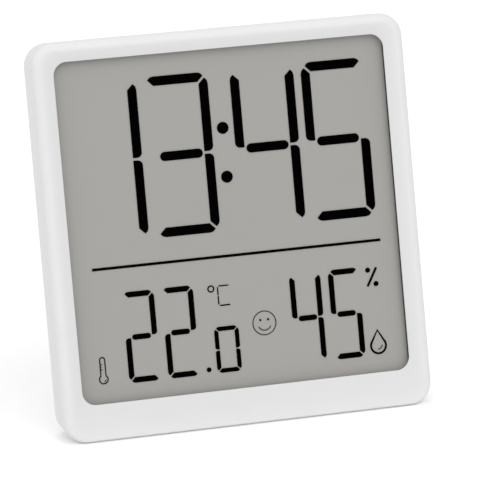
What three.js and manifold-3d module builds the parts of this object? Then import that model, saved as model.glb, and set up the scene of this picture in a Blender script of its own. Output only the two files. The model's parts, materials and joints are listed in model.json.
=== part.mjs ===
// Desk clock with thermometer and humidity reading: millimetres, +Z up, display facing -Y.
// The clock is built upright and square, x to the right, y from the front edge to the back, z up,
// and then leaned back in one group so that its bottom face and its stand foot lie on the table.
import * as THREE from 'three';
import { mergeVertices } from 'three/addons/utils/BufferGeometryUtils.js';
import Module from 'manifold-3d';

const wasm = await Module();
wasm.setup();

// Driving sizes of the case
const WINDOW_WIDTH = 125;
const WINDOW_HEIGHT = 125.2;
const SIDE_BAND = 8;
const TOP_BAND = 7.4;
const CHIN_BAND = 13.8;
const CASE_CORNER = 8.5;
const WINDOW_CORNER = 5;
const EDGE_ROUND = 3;
const BOTTOM_ROUND_SHARE = 0.35;
const FACE_FALL = 1;
const LIP = 2;
const LIP_FLARE = 1;
const BEZEL_DEPTH = 14.5;
const BEZEL_WALL = 2.2;
const COVER_WALL = 1.8;
const COVER_STEP = 0.4;
const COVER_TAPER = 0.56;
const COVER_ROUND = 2.4;
const LEAN = THREE.MathUtils.degToRad(10);

// Clearance between neighbouring pieces
const FIT = 0.3;

// Display layers
const GASKET = 0.5;
const POLARIZER = 0.3;
const GLASS = 1.1;
const DISPLAY_MARGIN = 1.4;
const GLASS_LEDGE = 1.8;
const STRIP_WIDTH = 1.2;
const STRIP_INSET = 10.5;
const SEGMENT_FILM = 0.1;
const TRACK = 0.3;

// Display holder, circuit board and their screws
const HOLDER = 1.2;
const HOLDER_MARGIN = 2;
const HOLDER_SCREW_INSET = 26;
const HOLDER_RIB = 3;
const HOLDER_RIB_THICK = 1.4;
const HOLDER_BOSS = 1.9;
const BOARD = 1.6;
const BOARD_INSET = 2.5;
const BOARD_POST = 1.5;
const BOARD_POST_RADIUS = 2.2;
const BOARD_SCREW_INSET = 4;
const SMALL_SCREW_HEAD = 1.5;
const SMALL_SCREW_HEAD_HEIGHT = 1.1;
const SMALL_SCREW_SHANK = 0.6;
const CROSS_SPAN_SHARE = 0.7;
const CROSS_WIDTH_SHARE = 0.16;

// Buttons and switches
const BUTTON_PITCH = 14;
const BUTTON_RADIUS = 3.6;
const BUTTON_FLANGE = 0.9;
const BUTTON_FLANGE_HEIGHT = 1;
const BUTTON_DISH = 0.8;
const BUTTON_PROUD = 0.5;
const BUTTON_TRAVEL = 0.5;
const BUTTON_INSET = 10;
const DISH_MARGIN = 2;
const SWITCH_SIDE = 6;
const SWITCH_HEIGHT = 3.5;
const SWITCH_FLOOR = 0.8;
const PLUNGER_RADIUS = 1.7;
const PLUNGER_PROUD = 0.8;

// Parts on the board
const BLOB_X = -8;
const BLOB_RADIUS = 7;
const BLOB_RISE = 2;
const CRYSTAL_RADIUS = 1;
const CRYSTAL_LENGTH = 6;
const CRYSTAL_LIFT = 10;
const SENSOR_INSET = 24;
const SENSOR_SIDE = 5;
const SENSOR_HEIGHT = 1.4;
const THERMISTOR_INSET = 16;
const THERMISTOR_RADIUS = 1.2;
const THERMISTOR_HEIGHT = 2.4;
const CAPACITOR_XS = [-22, 10];
const CAPACITOR_LIFT = 6;
const CAPACITOR_RADIUS = 2;
const CAPACITOR_HEIGHT = 4.5;

// Battery bay
const CELL_RADIUS = 5.25;
const CELL_LENGTH = 44.5;
const CELL_NUB_RADIUS = 1.9;
const CELL_NUB_LENGTH = 1;
const BAY_CLEARANCE = 0.6;
const BAY_WALL = 1.5;
const BAY_FLOOR = 1;
const SPRING_LENGTH = 4.6;
const SPRING_WIRE = 0.7;
const SPRING_TURNS = 3;
const SPRING_WIDE = 3.6;
const SPRING_NARROW = 2.6;
const CONTACT_PLATE = 0.5;
const CONTACT_HALF = 4.4;
const CONTACT_TAB_HALF = 1.5;
const CONTACT_TAB_RISE = 5;
const LEAD_RADIUS = 0.6;
const LEAD_ROOM = 2;
const LEAD_SPREAD = 6;
const LEAD_OVERLAP = 8;
const DOOR = 1.6;
const DOOR_MARGIN = 2.6;
const DOOR_TAB_WIDTH = 7;
const DOOR_TAB_REACH = 2;
const DOOR_TAB = 1.4;
const DOOR_TAB_SPREAD = 17;
const DOOR_TAB_ROOM = 4.2;
const DOOR_SILL = 4;

// Stand leg
const LEG_WIDTH = 42;
const LEG_THICK = 3;
const LEG_PIN_RADIUS = 1.2;
const LEG_PIN_LENGTH = 2;
const LEG_BARREL = 1.8;
const LEG_SWING = THREE.MathUtils.degToRad(16);
const HINGE_RISE = 66;

// Case screws, wall hanger and air slots
const CASE_SCREW_INSET = 15.5;
const CASE_SCREW_RISE = 8.4;
const CASE_BOSS_RADIUS = 2.5;
const CASE_SCREW_HEAD = 2;
const CASE_SCREW_HEAD_HEIGHT = 1.5;
const CASE_SCREW_SHANK = 1;
const CASE_SCREW_SHELF = 2.5;
const KEYHOLE_DROP = 21.4;
const KEYHOLE_HEAD = 4.2;
const KEYHOLE_SLOT = 2.2;
const KEYHOLE_RISE = 7;
const SLOT_COUNT = 6;
const SLOT_WIDTH = 1.8;
const SLOT_HEIGHT = 16;
const SLOT_PITCH = 4.4;
const TAB_WIDTH = 9;
const TAB_THICK = 1.2;
const TAB_REACH = 3;

// Places worked out from the driving sizes, front to back
const CASE_WIDTH = WINDOW_WIDTH + 2 * SIDE_BAND;
const CASE_HEIGHT = CHIN_BAND + WINDOW_HEIGHT + TOP_BAND;
const CASE_HALF = CASE_WIDTH / 2;
const WINDOW_BOTTOM = CHIN_BAND;
const WINDOW_TOP = CHIN_BAND + WINDOW_HEIGHT;
const LIP_BACK = FACE_FALL + LIP;
const GASKET_FRONT = LIP_BACK + FIT;
const POLARIZER_FRONT = GASKET_FRONT + GASKET + FIT;
const SEGMENT_BACK = POLARIZER_FRONT - SEGMENT_FILM;
const FRONT_GLASS_FRONT = POLARIZER_FRONT + POLARIZER + FIT;
const REAR_GLASS_FRONT = FRONT_GLASS_FRONT + GLASS + FIT;
const REFLECTOR_FRONT = REAR_GLASS_FRONT + GLASS + FIT;
const HOLDER_FRONT = REFLECTOR_FRONT + POLARIZER + FIT;
const HOLDER_BACK = HOLDER_FRONT + HOLDER;
const BOARD_FRONT = HOLDER_BACK + BOARD_POST + FIT;
const BOARD_BACK = BOARD_FRONT + BOARD;
const BAY_FRONT = HOLDER_BACK + FIT;
const CELL_DEPTH = BAY_FRONT + BAY_FLOOR + FIT + CELL_RADIUS;
const DOOR_FRONT = CELL_DEPTH + CELL_RADIUS + FIT;
const CASE_DEPTH = DOOR_FRONT + DOOR;
const COVER_FRONT = BEZEL_DEPTH + FIT;
const COVER_INSIDE = CASE_DEPTH - COVER_WALL;
const SHOULDER_DEPTH = CASE_DEPTH - COVER_ROUND;

// Places worked out from the driving sizes, from the table up
const floorAt = (depth) => depth * Math.tan(LEAN);
const HINGE_DEPTH = CASE_DEPTH - LEG_BARREL - FIT;
const RECESS_HALF = LEG_WIDTH / 2 + FIT;
const RECESS_FRONT = HINGE_DEPTH - LEG_BARREL - FIT;
const RECESS_TOP = HINGE_RISE + LEG_BARREL + FIT;
const BAY_HALF = CELL_RADIUS + BAY_CLEARANCE;
const DOOR_HALF = BAY_HALF + BAY_WALL + DOOR_MARGIN;
const BAY_RISE = RECESS_TOP + DOOR_SILL + DOOR_TAB_REACH + DOOR_HALF;
const BAY_TOP = BAY_RISE + BAY_HALF + BAY_WALL;
const DISPLAY_HALF = WINDOW_WIDTH / 2 + DISPLAY_MARGIN;
const DISPLAY_BOTTOM = WINDOW_BOTTOM - DISPLAY_MARGIN;
const DISPLAY_TOP = WINDOW_TOP + DISPLAY_MARGIN;
const HOLDER_HALF = DISPLAY_HALF + HOLDER_MARGIN;
const STRIP_HALF = WINDOW_WIDTH / 2 - STRIP_INSET;
const BOARD_HALF = WINDOW_WIDTH / 2 - BOARD_INSET;
const LAST_BUTTON_X = BOARD_HALF - BUTTON_INSET;
const SENSOR_X = SENSOR_INSET - BOARD_HALF;
const THERMISTOR_X = THERMISTOR_INSET - BOARD_HALF;
const BOARD_BOTTOM = BAY_TOP + CONTACT_TAB_RISE + LEAD_ROOM;
const BOARD_TOP = DISPLAY_TOP + GLASS_LEDGE;
const BOARD_MIDDLE = (BOARD_BOTTOM + BOARD_TOP) / 2;
const NEGATIVE_PLATE_X = -CELL_LENGTH / 2 - FIT - SPRING_LENGTH - FIT - CONTACT_PLATE;
const POSITIVE_PLATE_X = CELL_LENGTH / 2 + FIT;
const BAY_LEFT = NEGATIVE_PLATE_X - FIT;
const BAY_RIGHT = POSITIVE_PLATE_X + CONTACT_PLATE + FIT;
const DOOR_LEFT = BAY_LEFT - BAY_WALL - DOOR_MARGIN;
const DOOR_RIGHT = BAY_RIGHT + BAY_WALL + DOOR_MARGIN;
const KEYHOLE_HEIGHT = CASE_HEIGHT - KEYHOLE_DROP;
const SMALL_PILOT = SMALL_SCREW_SHANK + FIT;
const CASE_PILOT = CASE_SCREW_SHANK + FIT;

// Numbers of facets
const CORNER_STEPS = 7;
const EDGE_STEPS = 5;
const ROUND_SIDES = 24;
const SMALL_SIDES = 12;
const LEAD_SIDES = 8;
const LEAD_STEPS = 12;
const COIL_SIDES = 5;
const COIL_STEPS = 8;

// Finishes
const finish = (color, roughness, metalness = 0) =>
  new THREE.MeshStandardMaterial({ color, roughness, metalness, flatShading: true });
const whitePlastic = finish('#eeeeec', 0.42);
const greyPlastic = finish('#d4d4d2', 0.5);
const displayGrey = finish('#a8a6a2', 0.55);
const inkBlack = finish('#0b0b0c', 0.6);
const clearGlass = finish('#c9d2cf', 0.08);
const silverFilm = finish('#b9b8b4', 0.35, 0.4);
const foamGrey = finish('#3a3b3d', 0.9);
const rubberPink = finish('#c98f86', 0.8);
const boardGreen = finish('#1f5a36', 0.5);
const steel = finish('#b6b8bb', 0.32, 1);
const nickel = finish('#c9c7c0', 0.28, 1);
const epoxyBlack = finish('#161616', 0.35);
const sleeveBlack = finish('#2a2b2d', 0.4);
const sensorWhite = finish('#e6e4dc', 0.5);
const redLead = finish('#b3261e', 0.5);
const blackLead = finish('#1b1b1c', 0.5);

// A welded solid that can be joined and cut
function solid(geometry) {
  const bare = geometry.clone();
  bare.deleteAttribute('normal');
  bare.deleteAttribute('uv');
  const welded = mergeVertices(bare, 1e-4);
  const corners = welded.index.array;
  const triVerts = [];
  for (let i = 0; i < corners.length; i += 3) {
    const [a, b, c] = [corners[i], corners[i + 1], corners[i + 2]];
    if (a !== b && b !== c && c !== a) triVerts.push(a, b, c);
  }
  const mesh = new wasm.Mesh({
    numProp: 3,
    vertProperties: Float32Array.from(welded.attributes.position.array),
    triVerts: Uint32Array.from(triVerts),
  });
  return new wasm.Manifold(mesh);
}

const join = (first, ...others) => others.reduce((whole, other) => whole.add(other), first);
const cut = (body, ...tools) => tools.reduce((rest, tool) => rest.subtract(tool), body);

// A box between two corners
function box(left, right, front, back, bottom, top) {
  const geometry = new THREE.BoxGeometry(right - left, back - front, top - bottom);
  geometry.translate((left + right) / 2, (front + back) / 2, (bottom + top) / 2);
  return solid(geometry);
}

// A round rod that runs from front to back
function rod(x, z, front, back, radius, sides = SMALL_SIDES) {
  const geometry = new THREE.CylinderGeometry(radius, radius, back - front, sides);
  geometry.translate(x, (front + back) / 2, z);
  return solid(geometry);
}

// A round rod that runs from left to right
function crossRod(left, right, y, z, radius, sides = SMALL_SIDES) {
  const geometry = new THREE.CylinderGeometry(radius, radius, right - left, sides);
  geometry.rotateZ(Math.PI / 2);
  geometry.translate((left + right) / 2, y, z);
  return solid(geometry);
}

// A flat outline in x and z, given thickness from front to back
function slab(shape, front, back) {
  const geometry = new THREE.ExtrudeGeometry(shape, {
    depth: back - front,
    bevelEnabled: false,
    curveSegments: CORNER_STEPS,
  });
  geometry.rotateX(Math.PI / 2);
  geometry.translate(0, back, 0);
  return solid(geometry);
}

// An outline in y and z, given width from left to right
function profile(shape, left, right) {
  const geometry = new THREE.ExtrudeGeometry(shape, {
    depth: right - left,
    bevelEnabled: false,
    curveSegments: CORNER_STEPS,
  });
  geometry.rotateX(Math.PI / 2);
  geometry.rotateZ(Math.PI / 2);
  geometry.translate(left, 0, 0);
  return solid(geometry);
}

// One round-cornered rectangle, counter-clockwise seen from the front
function ring({ depth, half, bottom, top, corner }) {
  const centres = [
    [half - corner, top - corner],
    [corner - half, top - corner],
    [corner - half, bottom + corner],
    [half - corner, bottom + corner],
  ];
  const points = [];
  centres.forEach(([x, z], quarter) => {
    for (let step = 0; step <= CORNER_STEPS; step += 1) {
      const angle = (quarter + step / CORNER_STEPS) * Math.PI / 2;
      points.push(x + corner * Math.cos(angle), depth, z + corner * Math.sin(angle));
    }
  });
  return points;
}

// A closed skin over round-cornered rectangles that follow each other from front to back
function loft(sections) {
  const count = 4 * (CORNER_STEPS + 1);
  const last = (sections.length - 1) * count;
  const index = [];
  for (let i = 1; i < count - 1; i += 1) {
    index.push(0, i, i + 1, last, last + i + 1, last + i);
  }
  for (let level = 0; level < sections.length - 1; level += 1) {
    for (let i = 0; i < count; i += 1) {
      const a = level * count + i;
      const b = level * count + (i + 1) % count;
      index.push(a, a + count, b + count, a, b + count, b);
    }
  }
  const geometry = new THREE.BufferGeometry();
  geometry.setAttribute('position', new THREE.Float32BufferAttribute(sections.flatMap(ring), 3));
  geometry.setIndex(index);
  return solid(geometry);
}

// A flat plate behind the window, reaching past it by the display margin
function displayPlate(front, thick, extraTop = 0) {
  return box(-DISPLAY_HALF, DISPLAY_HALF, front, front + thick, DISPLAY_BOTTOM, DISPLAY_TOP + extraTop);
}

// A screw that is driven from the back: pan head, cross slot and shank
function screw(x, z, seat, headRadius, headHeight, shankRadius, tip) {
  const head = rod(x, z, seat, seat + headHeight, headRadius, SMALL_SIDES);
  const shank = rod(x, z, tip, seat + headHeight / 2, shankRadius, SMALL_SIDES);
  const slotHalf = headRadius * CROSS_SPAN_SHARE;
  const slotWidth = headRadius * CROSS_WIDTH_SHARE;
  const slotFloor = seat + headHeight / 2;
  const above = seat + 2 * headHeight;
  return cut(
    join(head, shank),
    box(x - slotHalf, x + slotHalf, slotFloor, above, z - slotWidth, z + slotWidth),
    box(x - slotWidth, x + slotWidth, slotFloor, above, z - slotHalf, z + slotHalf),
  );
}

// Where the four holder screws stand, against the bezel's side walls
const holderBossX = CASE_HALF - BEZEL_WALL - HOLDER_BOSS + FIT;
const holderBossRises = [DISPLAY_BOTTOM + HOLDER_SCREW_INSET, DISPLAY_TOP - HOLDER_SCREW_INSET];
const holderBosses = [-1, 1].flatMap((side) => holderBossRises.map((z) => [side * holderBossX, z]));
const boardPostRises = [BOARD_BOTTOM + BOARD_SCREW_INSET, BOARD_TOP - 2 * BOARD_SCREW_INSET];
const boardPostX = BOARD_HALF - BOARD_SCREW_INSET;
const boardPosts = [-1, 1].flatMap((side) => boardPostRises.map((z) => [side * boardPostX, z]));
const caseBosses = [-1, 1].map((side) => [side * (CASE_HALF - CASE_SCREW_INSET), CASE_SCREW_RISE]);

// Front frame: rounded outer edge, face falling to the window, lip, walls and screw bosses
function frontBezel() {
  const outer = [];
  for (let step = 0; step <= EDGE_STEPS; step += 1) {
    const angle = step / EDGE_STEPS * Math.PI / 2;
    const inset = EDGE_ROUND * (1 - Math.sin(angle));
    const depth = EDGE_ROUND * (1 - Math.cos(angle));
    outer.push({
      depth,
      half: CASE_HALF - inset,
      bottom: floorAt(depth) + BOTTOM_ROUND_SHARE * inset,
      top: CASE_HEIGHT - inset,
      corner: CASE_CORNER - inset,
    });
  }
  outer.push({
    depth: BEZEL_DEPTH,
    half: CASE_HALF,
    bottom: floorAt(BEZEL_DEPTH),
    top: CASE_HEIGHT,
    corner: CASE_CORNER,
  });
  const windowAt = (depth, flare) => ({
    depth,
    half: WINDOW_WIDTH / 2 + flare,
    bottom: WINDOW_BOTTOM - flare,
    top: WINDOW_TOP + flare,
    corner: WINDOW_CORNER + flare,
  });
  const crest = EDGE_ROUND + FIT;
  const face = [
    {
      depth: -FIT,
      half: CASE_HALF - crest,
      bottom: BOTTOM_ROUND_SHARE * crest,
      top: CASE_HEIGHT - crest,
      corner: CASE_CORNER - crest,
    },
    {
      depth: 0,
      half: CASE_HALF - crest,
      bottom: BOTTOM_ROUND_SHARE * crest,
      top: CASE_HEIGHT - crest,
      corner: CASE_CORNER - crest,
    },
    windowAt(FACE_FALL, 0),
    windowAt(LIP_BACK + FIT, LIP_FLARE),
  ];
  const roomAt = (depth) => ({
    depth,
    half: CASE_HALF - BEZEL_WALL,
    bottom: floorAt(depth) + BEZEL_WALL,
    top: CASE_HEIGHT - BEZEL_WALL,
    corner: CASE_CORNER - BEZEL_WALL,
  });
  const room = loft([roomAt(LIP_BACK), roomAt(BEZEL_DEPTH + FIT)]);
  const shell = cut(loft(outer), loft(face), room);
  const sideBosses = holderBosses.map(([x, z]) =>
    cut(
      rod(x, z, LIP_BACK - LIP / 2, HOLDER_FRONT - FIT, HOLDER_BOSS),
      rod(x, z, LIP_BACK + FIT, HOLDER_FRONT, SMALL_PILOT, SMALL_SIDES),
    ));
  const chinBosses = caseBosses.map(([x, z]) =>
    cut(
      rod(x, z, LIP_BACK - LIP / 2, BEZEL_DEPTH, CASE_BOSS_RADIUS),
      rod(x, z, LIP_BACK + FIT, BEZEL_DEPTH + FIT, CASE_PILOT, SMALL_SIDES),
    ));
  return join(shell, ...sideBosses, ...chinBosses);
}

// Foam frame that seals the display against the bezel lip
function displayGasket() {
  const hole = box(
    -WINDOW_WIDTH / 2 - FIT,
    WINDOW_WIDTH / 2 + FIT,
    0,
    POLARIZER_FRONT,
    WINDOW_BOTTOM - FIT,
    WINDOW_TOP + FIT,
  );
  return cut(displayPlate(GASKET_FRONT, GASKET), hole);
}

// Segments of one digit: a top, b c right, d bottom, e f left, g middle
const LIT = {
  0: 'abcdef',
  1: 'bc',
  2: 'abged',
  3: 'abgcd',
  4: 'fgbc',
  5: 'afgcd',
};

// One digit: mitred bars joined at their ends by the thin tracks that feed them
function digit(numeral, left, top, width, height, stroke, gap) {
  const right = left + width;
  const bottom = top - height;
  const middle = (top + bottom) / 2;
  const half = stroke / 2;
  const nodes = {
    topLeft: [left + half, top - half],
    topRight: [right - half, top - half],
    midLeft: [left + half, middle],
    midRight: [right - half, middle],
    lowLeft: [left + half, bottom + half],
    lowRight: [right - half, bottom + half],
  };
  const ends = {
    a: ['topLeft', 'topRight'],
    b: ['topRight', 'midRight'],
    c: ['midRight', 'lowRight'],
    d: ['lowLeft', 'lowRight'],
    e: ['midLeft', 'lowLeft'],
    f: ['topLeft', 'midLeft'],
    g: ['midLeft', 'midRight'],
  };
  const lit = [...LIT[numeral]];
  const meeting = (node) => lit.filter((name) => ends[name].includes(node)).length;
  const pieces = lit.flatMap((name) => {
    const [from, to] = ends[name].map((node) => new THREE.Vector2(...nodes[node]));
    const along = to.clone().sub(from).normalize();
    const across = new THREE.Vector2(-along.y, along.x);
    const point = (base, forward, sideways) =>
      base.clone().addScaledVector(along, forward).addScaledVector(across, sideways);
    const bar = new THREE.Shape([
      point(from, gap, 0),
      point(from, gap + half, -half),
      point(to, -gap - half, -half),
      point(to, -gap, 0),
      point(to, -gap - half, half),
      point(from, gap + half, half),
    ]);
    const tracks = ends[name].filter((node) => meeting(node) > 1).map((node) => {
      const [x, z] = nodes[node];
      const inner = new THREE.Vector2(x, z).lerp(node === ends[name][0] ? to : from, (gap + half) / height);
      const low = new THREE.Vector2(Math.min(x, inner.x), Math.min(z, inner.y));
      const high = new THREE.Vector2(Math.max(x, inner.x), Math.max(z, inner.y));
      return box(
        low.x - TRACK / 2,
        high.x + TRACK / 2,
        SEGMENT_BACK - SEGMENT_FILM,
        SEGMENT_BACK,
        low.y - TRACK / 2,
        high.y + TRACK / 2,
      );
    });
    return [slab(bar, SEGMENT_BACK - SEGMENT_FILM, SEGMENT_BACK), ...tracks];
  });
  return join(...pieces);
}

// Display layout, measured from a corner a little inside the window's upper left one
const LAYOUT_SHIFT = 0.55;
const LAYOUT_FALL = 0.2;
const LAYOUT_LEFT = -WINDOW_WIDTH / 2 + LAYOUT_SHIFT;
const LAYOUT_TOP = WINDOW_TOP - LAYOUT_FALL;
const TIME_TOP = 8;
const TIME_HEIGHT = 58.9;
const TIME_WIDTH = 24.4;
const TIME_STROKE = 3.3;
const TIME_RIGHTS = [30.2, 57.2, 90, 117.2];
const TIME_DIGITS = [1, 3, 4, 5];
const COLON_X = (TIME_RIGHTS[1] + TIME_RIGHTS[2] - TIME_WIDTH) / 2;
const COLON_DROPS = [29.1, 47.1];
const COLON_RADIUS = 2.2;
const DIVIDER_FROM = 7.8;
const DIVIDER_TO = 118;
const DIVIDER_DROP = 76.1;
const DIVIDER_THICK = 1;
const READING_TOP = 85.4;
const READING_HEIGHT = 33.4;
const READING_WIDTH = 12;
const READING_STROKE = 2;
const TENTHS_HEIGHT = 17;
const TENTHS_WIDTH = 9.4;
const TENTHS_STROKE = 1.5;
const POINT_X = 48.2;
const POINT_RADIUS = 0.9;
const SEGMENT_GAP = 0.5;
const TEMPERATURE_LEFTS = [18, 32.8, 51.4];
const HUMIDITY_LEFTS = [81.6, 96.6];

const fromTop = (drop) => LAYOUT_TOP - drop;
const fromLeft = (x) => LAYOUT_LEFT + x;
const film = (x, z, radius) => rod(x, z, SEGMENT_BACK - SEGMENT_FILM, SEGMENT_BACK, radius);
const reading = (numeral, left) =>
  digit(
    numeral,
    fromLeft(left),
    fromTop(READING_TOP),
    READING_WIDTH,
    READING_HEIGHT,
    READING_STROKE,
    SEGMENT_GAP,
  );

// Two colon dots, fed by one thin track
function timeColon() {
  const [upper, lower] = COLON_DROPS.map(fromTop);
  const x = fromLeft(COLON_X);
  const track = box(x - TRACK / 2, x + TRACK / 2, SEGMENT_BACK - SEGMENT_FILM, SEGMENT_BACK, lower, upper);
  return join(film(x, upper, COLON_RADIUS), film(x, lower, COLON_RADIUS), track);
}

// Plate behind the display with screw ears, two stiffening ribs and posts for the circuit board
function lcdHolder() {
  const plate = box(-HOLDER_HALF, HOLDER_HALF, HOLDER_FRONT, HOLDER_BACK, DISPLAY_BOTTOM, DISPLAY_TOP);
  const ears = holderBosses.map(([x, z]) => rod(x, z, HOLDER_FRONT, HOLDER_BACK, HOLDER_BOSS - FIT));
  const earHoles = holderBosses.map(([x, z]) => rod(x, z, LIP_BACK, HOLDER_BACK + FIT, SMALL_PILOT));
  const posts = boardPosts.map(([x, z]) =>
    rod(x, z, HOLDER_FRONT + HOLDER / 2, HOLDER_BACK + BOARD_POST, BOARD_POST_RADIUS));
  const postHoles = boardPosts.map(([x, z]) => rod(x, z, LIP_BACK, BOARD_FRONT, SMALL_PILOT));
  const ribs = [-1, 1].map((side) => {
    const x = side * HOLDER_HALF / 2;
    const half = HOLDER_RIB_THICK / 2;
    const ribBack = HOLDER_BACK + HOLDER_RIB;
    return box(x - half, x + half, HOLDER_FRONT + HOLDER / 2, ribBack, DISPLAY_BOTTOM, RECESS_TOP);
  });
  return cut(join(plate, ...ears, ...posts, ...ribs), ...earHoles, ...postHoles);
}

// Circuit board with its four screw holes
function mainBoard() {
  const plate = box(-BOARD_HALF, BOARD_HALF, BOARD_FRONT, BOARD_BACK, BOARD_BOTTOM, BOARD_TOP);
  return cut(plate, ...boardPosts.map(([x, z]) => rod(x, z, HOLDER_BACK, BOARD_BACK + FIT, SMALL_PILOT)));
}

// Drop of black resin over the controller chip
function controllerBlob() {
  const curve = [new THREE.Vector2(0, 0)];
  for (let step = 0; step < EDGE_STEPS; step += 1) {
    const angle = step / EDGE_STEPS * Math.PI / 2;
    curve.push(new THREE.Vector2(BLOB_RADIUS * Math.cos(angle), BLOB_RISE * Math.sin(angle)));
  }
  curve.push(new THREE.Vector2(0, BLOB_RISE));
  const geometry = new THREE.LatheGeometry(curve, ROUND_SIDES);
  geometry.translate(BLOB_X, BOARD_BACK + FIT, BOARD_MIDDLE);
  return solid(geometry);
}

// Places of the switches, all at the height of the board's middle
const buttonX = [2, 1, 0].map((place) => LAST_BUTTON_X - place * BUTTON_PITCH);
const BUTTON_RISE = BOARD_MIDDLE;
const SWITCH_FRONT = BOARD_BACK + FIT;
const SWITCH_BACK = SWITCH_FRONT + SWITCH_HEIGHT;
const PLUNGER_FRONT = SWITCH_FRONT + SWITCH_FLOOR + FIT + BUTTON_TRAVEL;
const PLUNGER_BACK = SWITCH_BACK + PLUNGER_PROUD;
const DISH_FLOOR = CASE_DEPTH - BUTTON_DISH;

// Square switch with a round well for its plunger
function switchBody(x) {
  const side = SWITCH_SIDE / 2;
  const block = box(x - side, x + side, SWITCH_FRONT, SWITCH_BACK, BUTTON_RISE - side, BUTTON_RISE + side);
  const wellFloor = SWITCH_FRONT + SWITCH_FLOOR;
  return cut(block, rod(x, BUTTON_RISE, wellFloor, SWITCH_BACK + FIT, PLUNGER_RADIUS + FIT));
}

// Push cap: stem to the switch, flange behind the cover and a head in the dish
function buttonCap(x) {
  const flangeBack = COVER_INSIDE - FIT;
  const flangeFront = flangeBack - BUTTON_FLANGE_HEIGHT;
  return join(
    rod(x, BUTTON_RISE, flangeBack, DISH_FLOOR + BUTTON_PROUD, BUTTON_RADIUS, ROUND_SIDES),
    rod(x, BUTTON_RISE, flangeFront, flangeBack, BUTTON_RADIUS + BUTTON_FLANGE, ROUND_SIDES),
    rod(x, BUTTON_RISE, PLUNGER_BACK + FIT, flangeBack, PLUNGER_RADIUS),
  );
}

// Outline of the shallow dish that the three caps sit in
function buttonDish() {
  const radius = BUTTON_RADIUS + DISH_MARGIN;
  const shape = new THREE.Shape();
  shape.absarc(buttonX[2], BUTTON_RISE, radius, -Math.PI / 2, Math.PI / 2);
  shape.absarc(buttonX[0], BUTTON_RISE, radius, Math.PI / 2, Math.PI * 1.5);
  return slab(shape, DISH_FLOOR, CASE_DEPTH + FIT);
}

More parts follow.
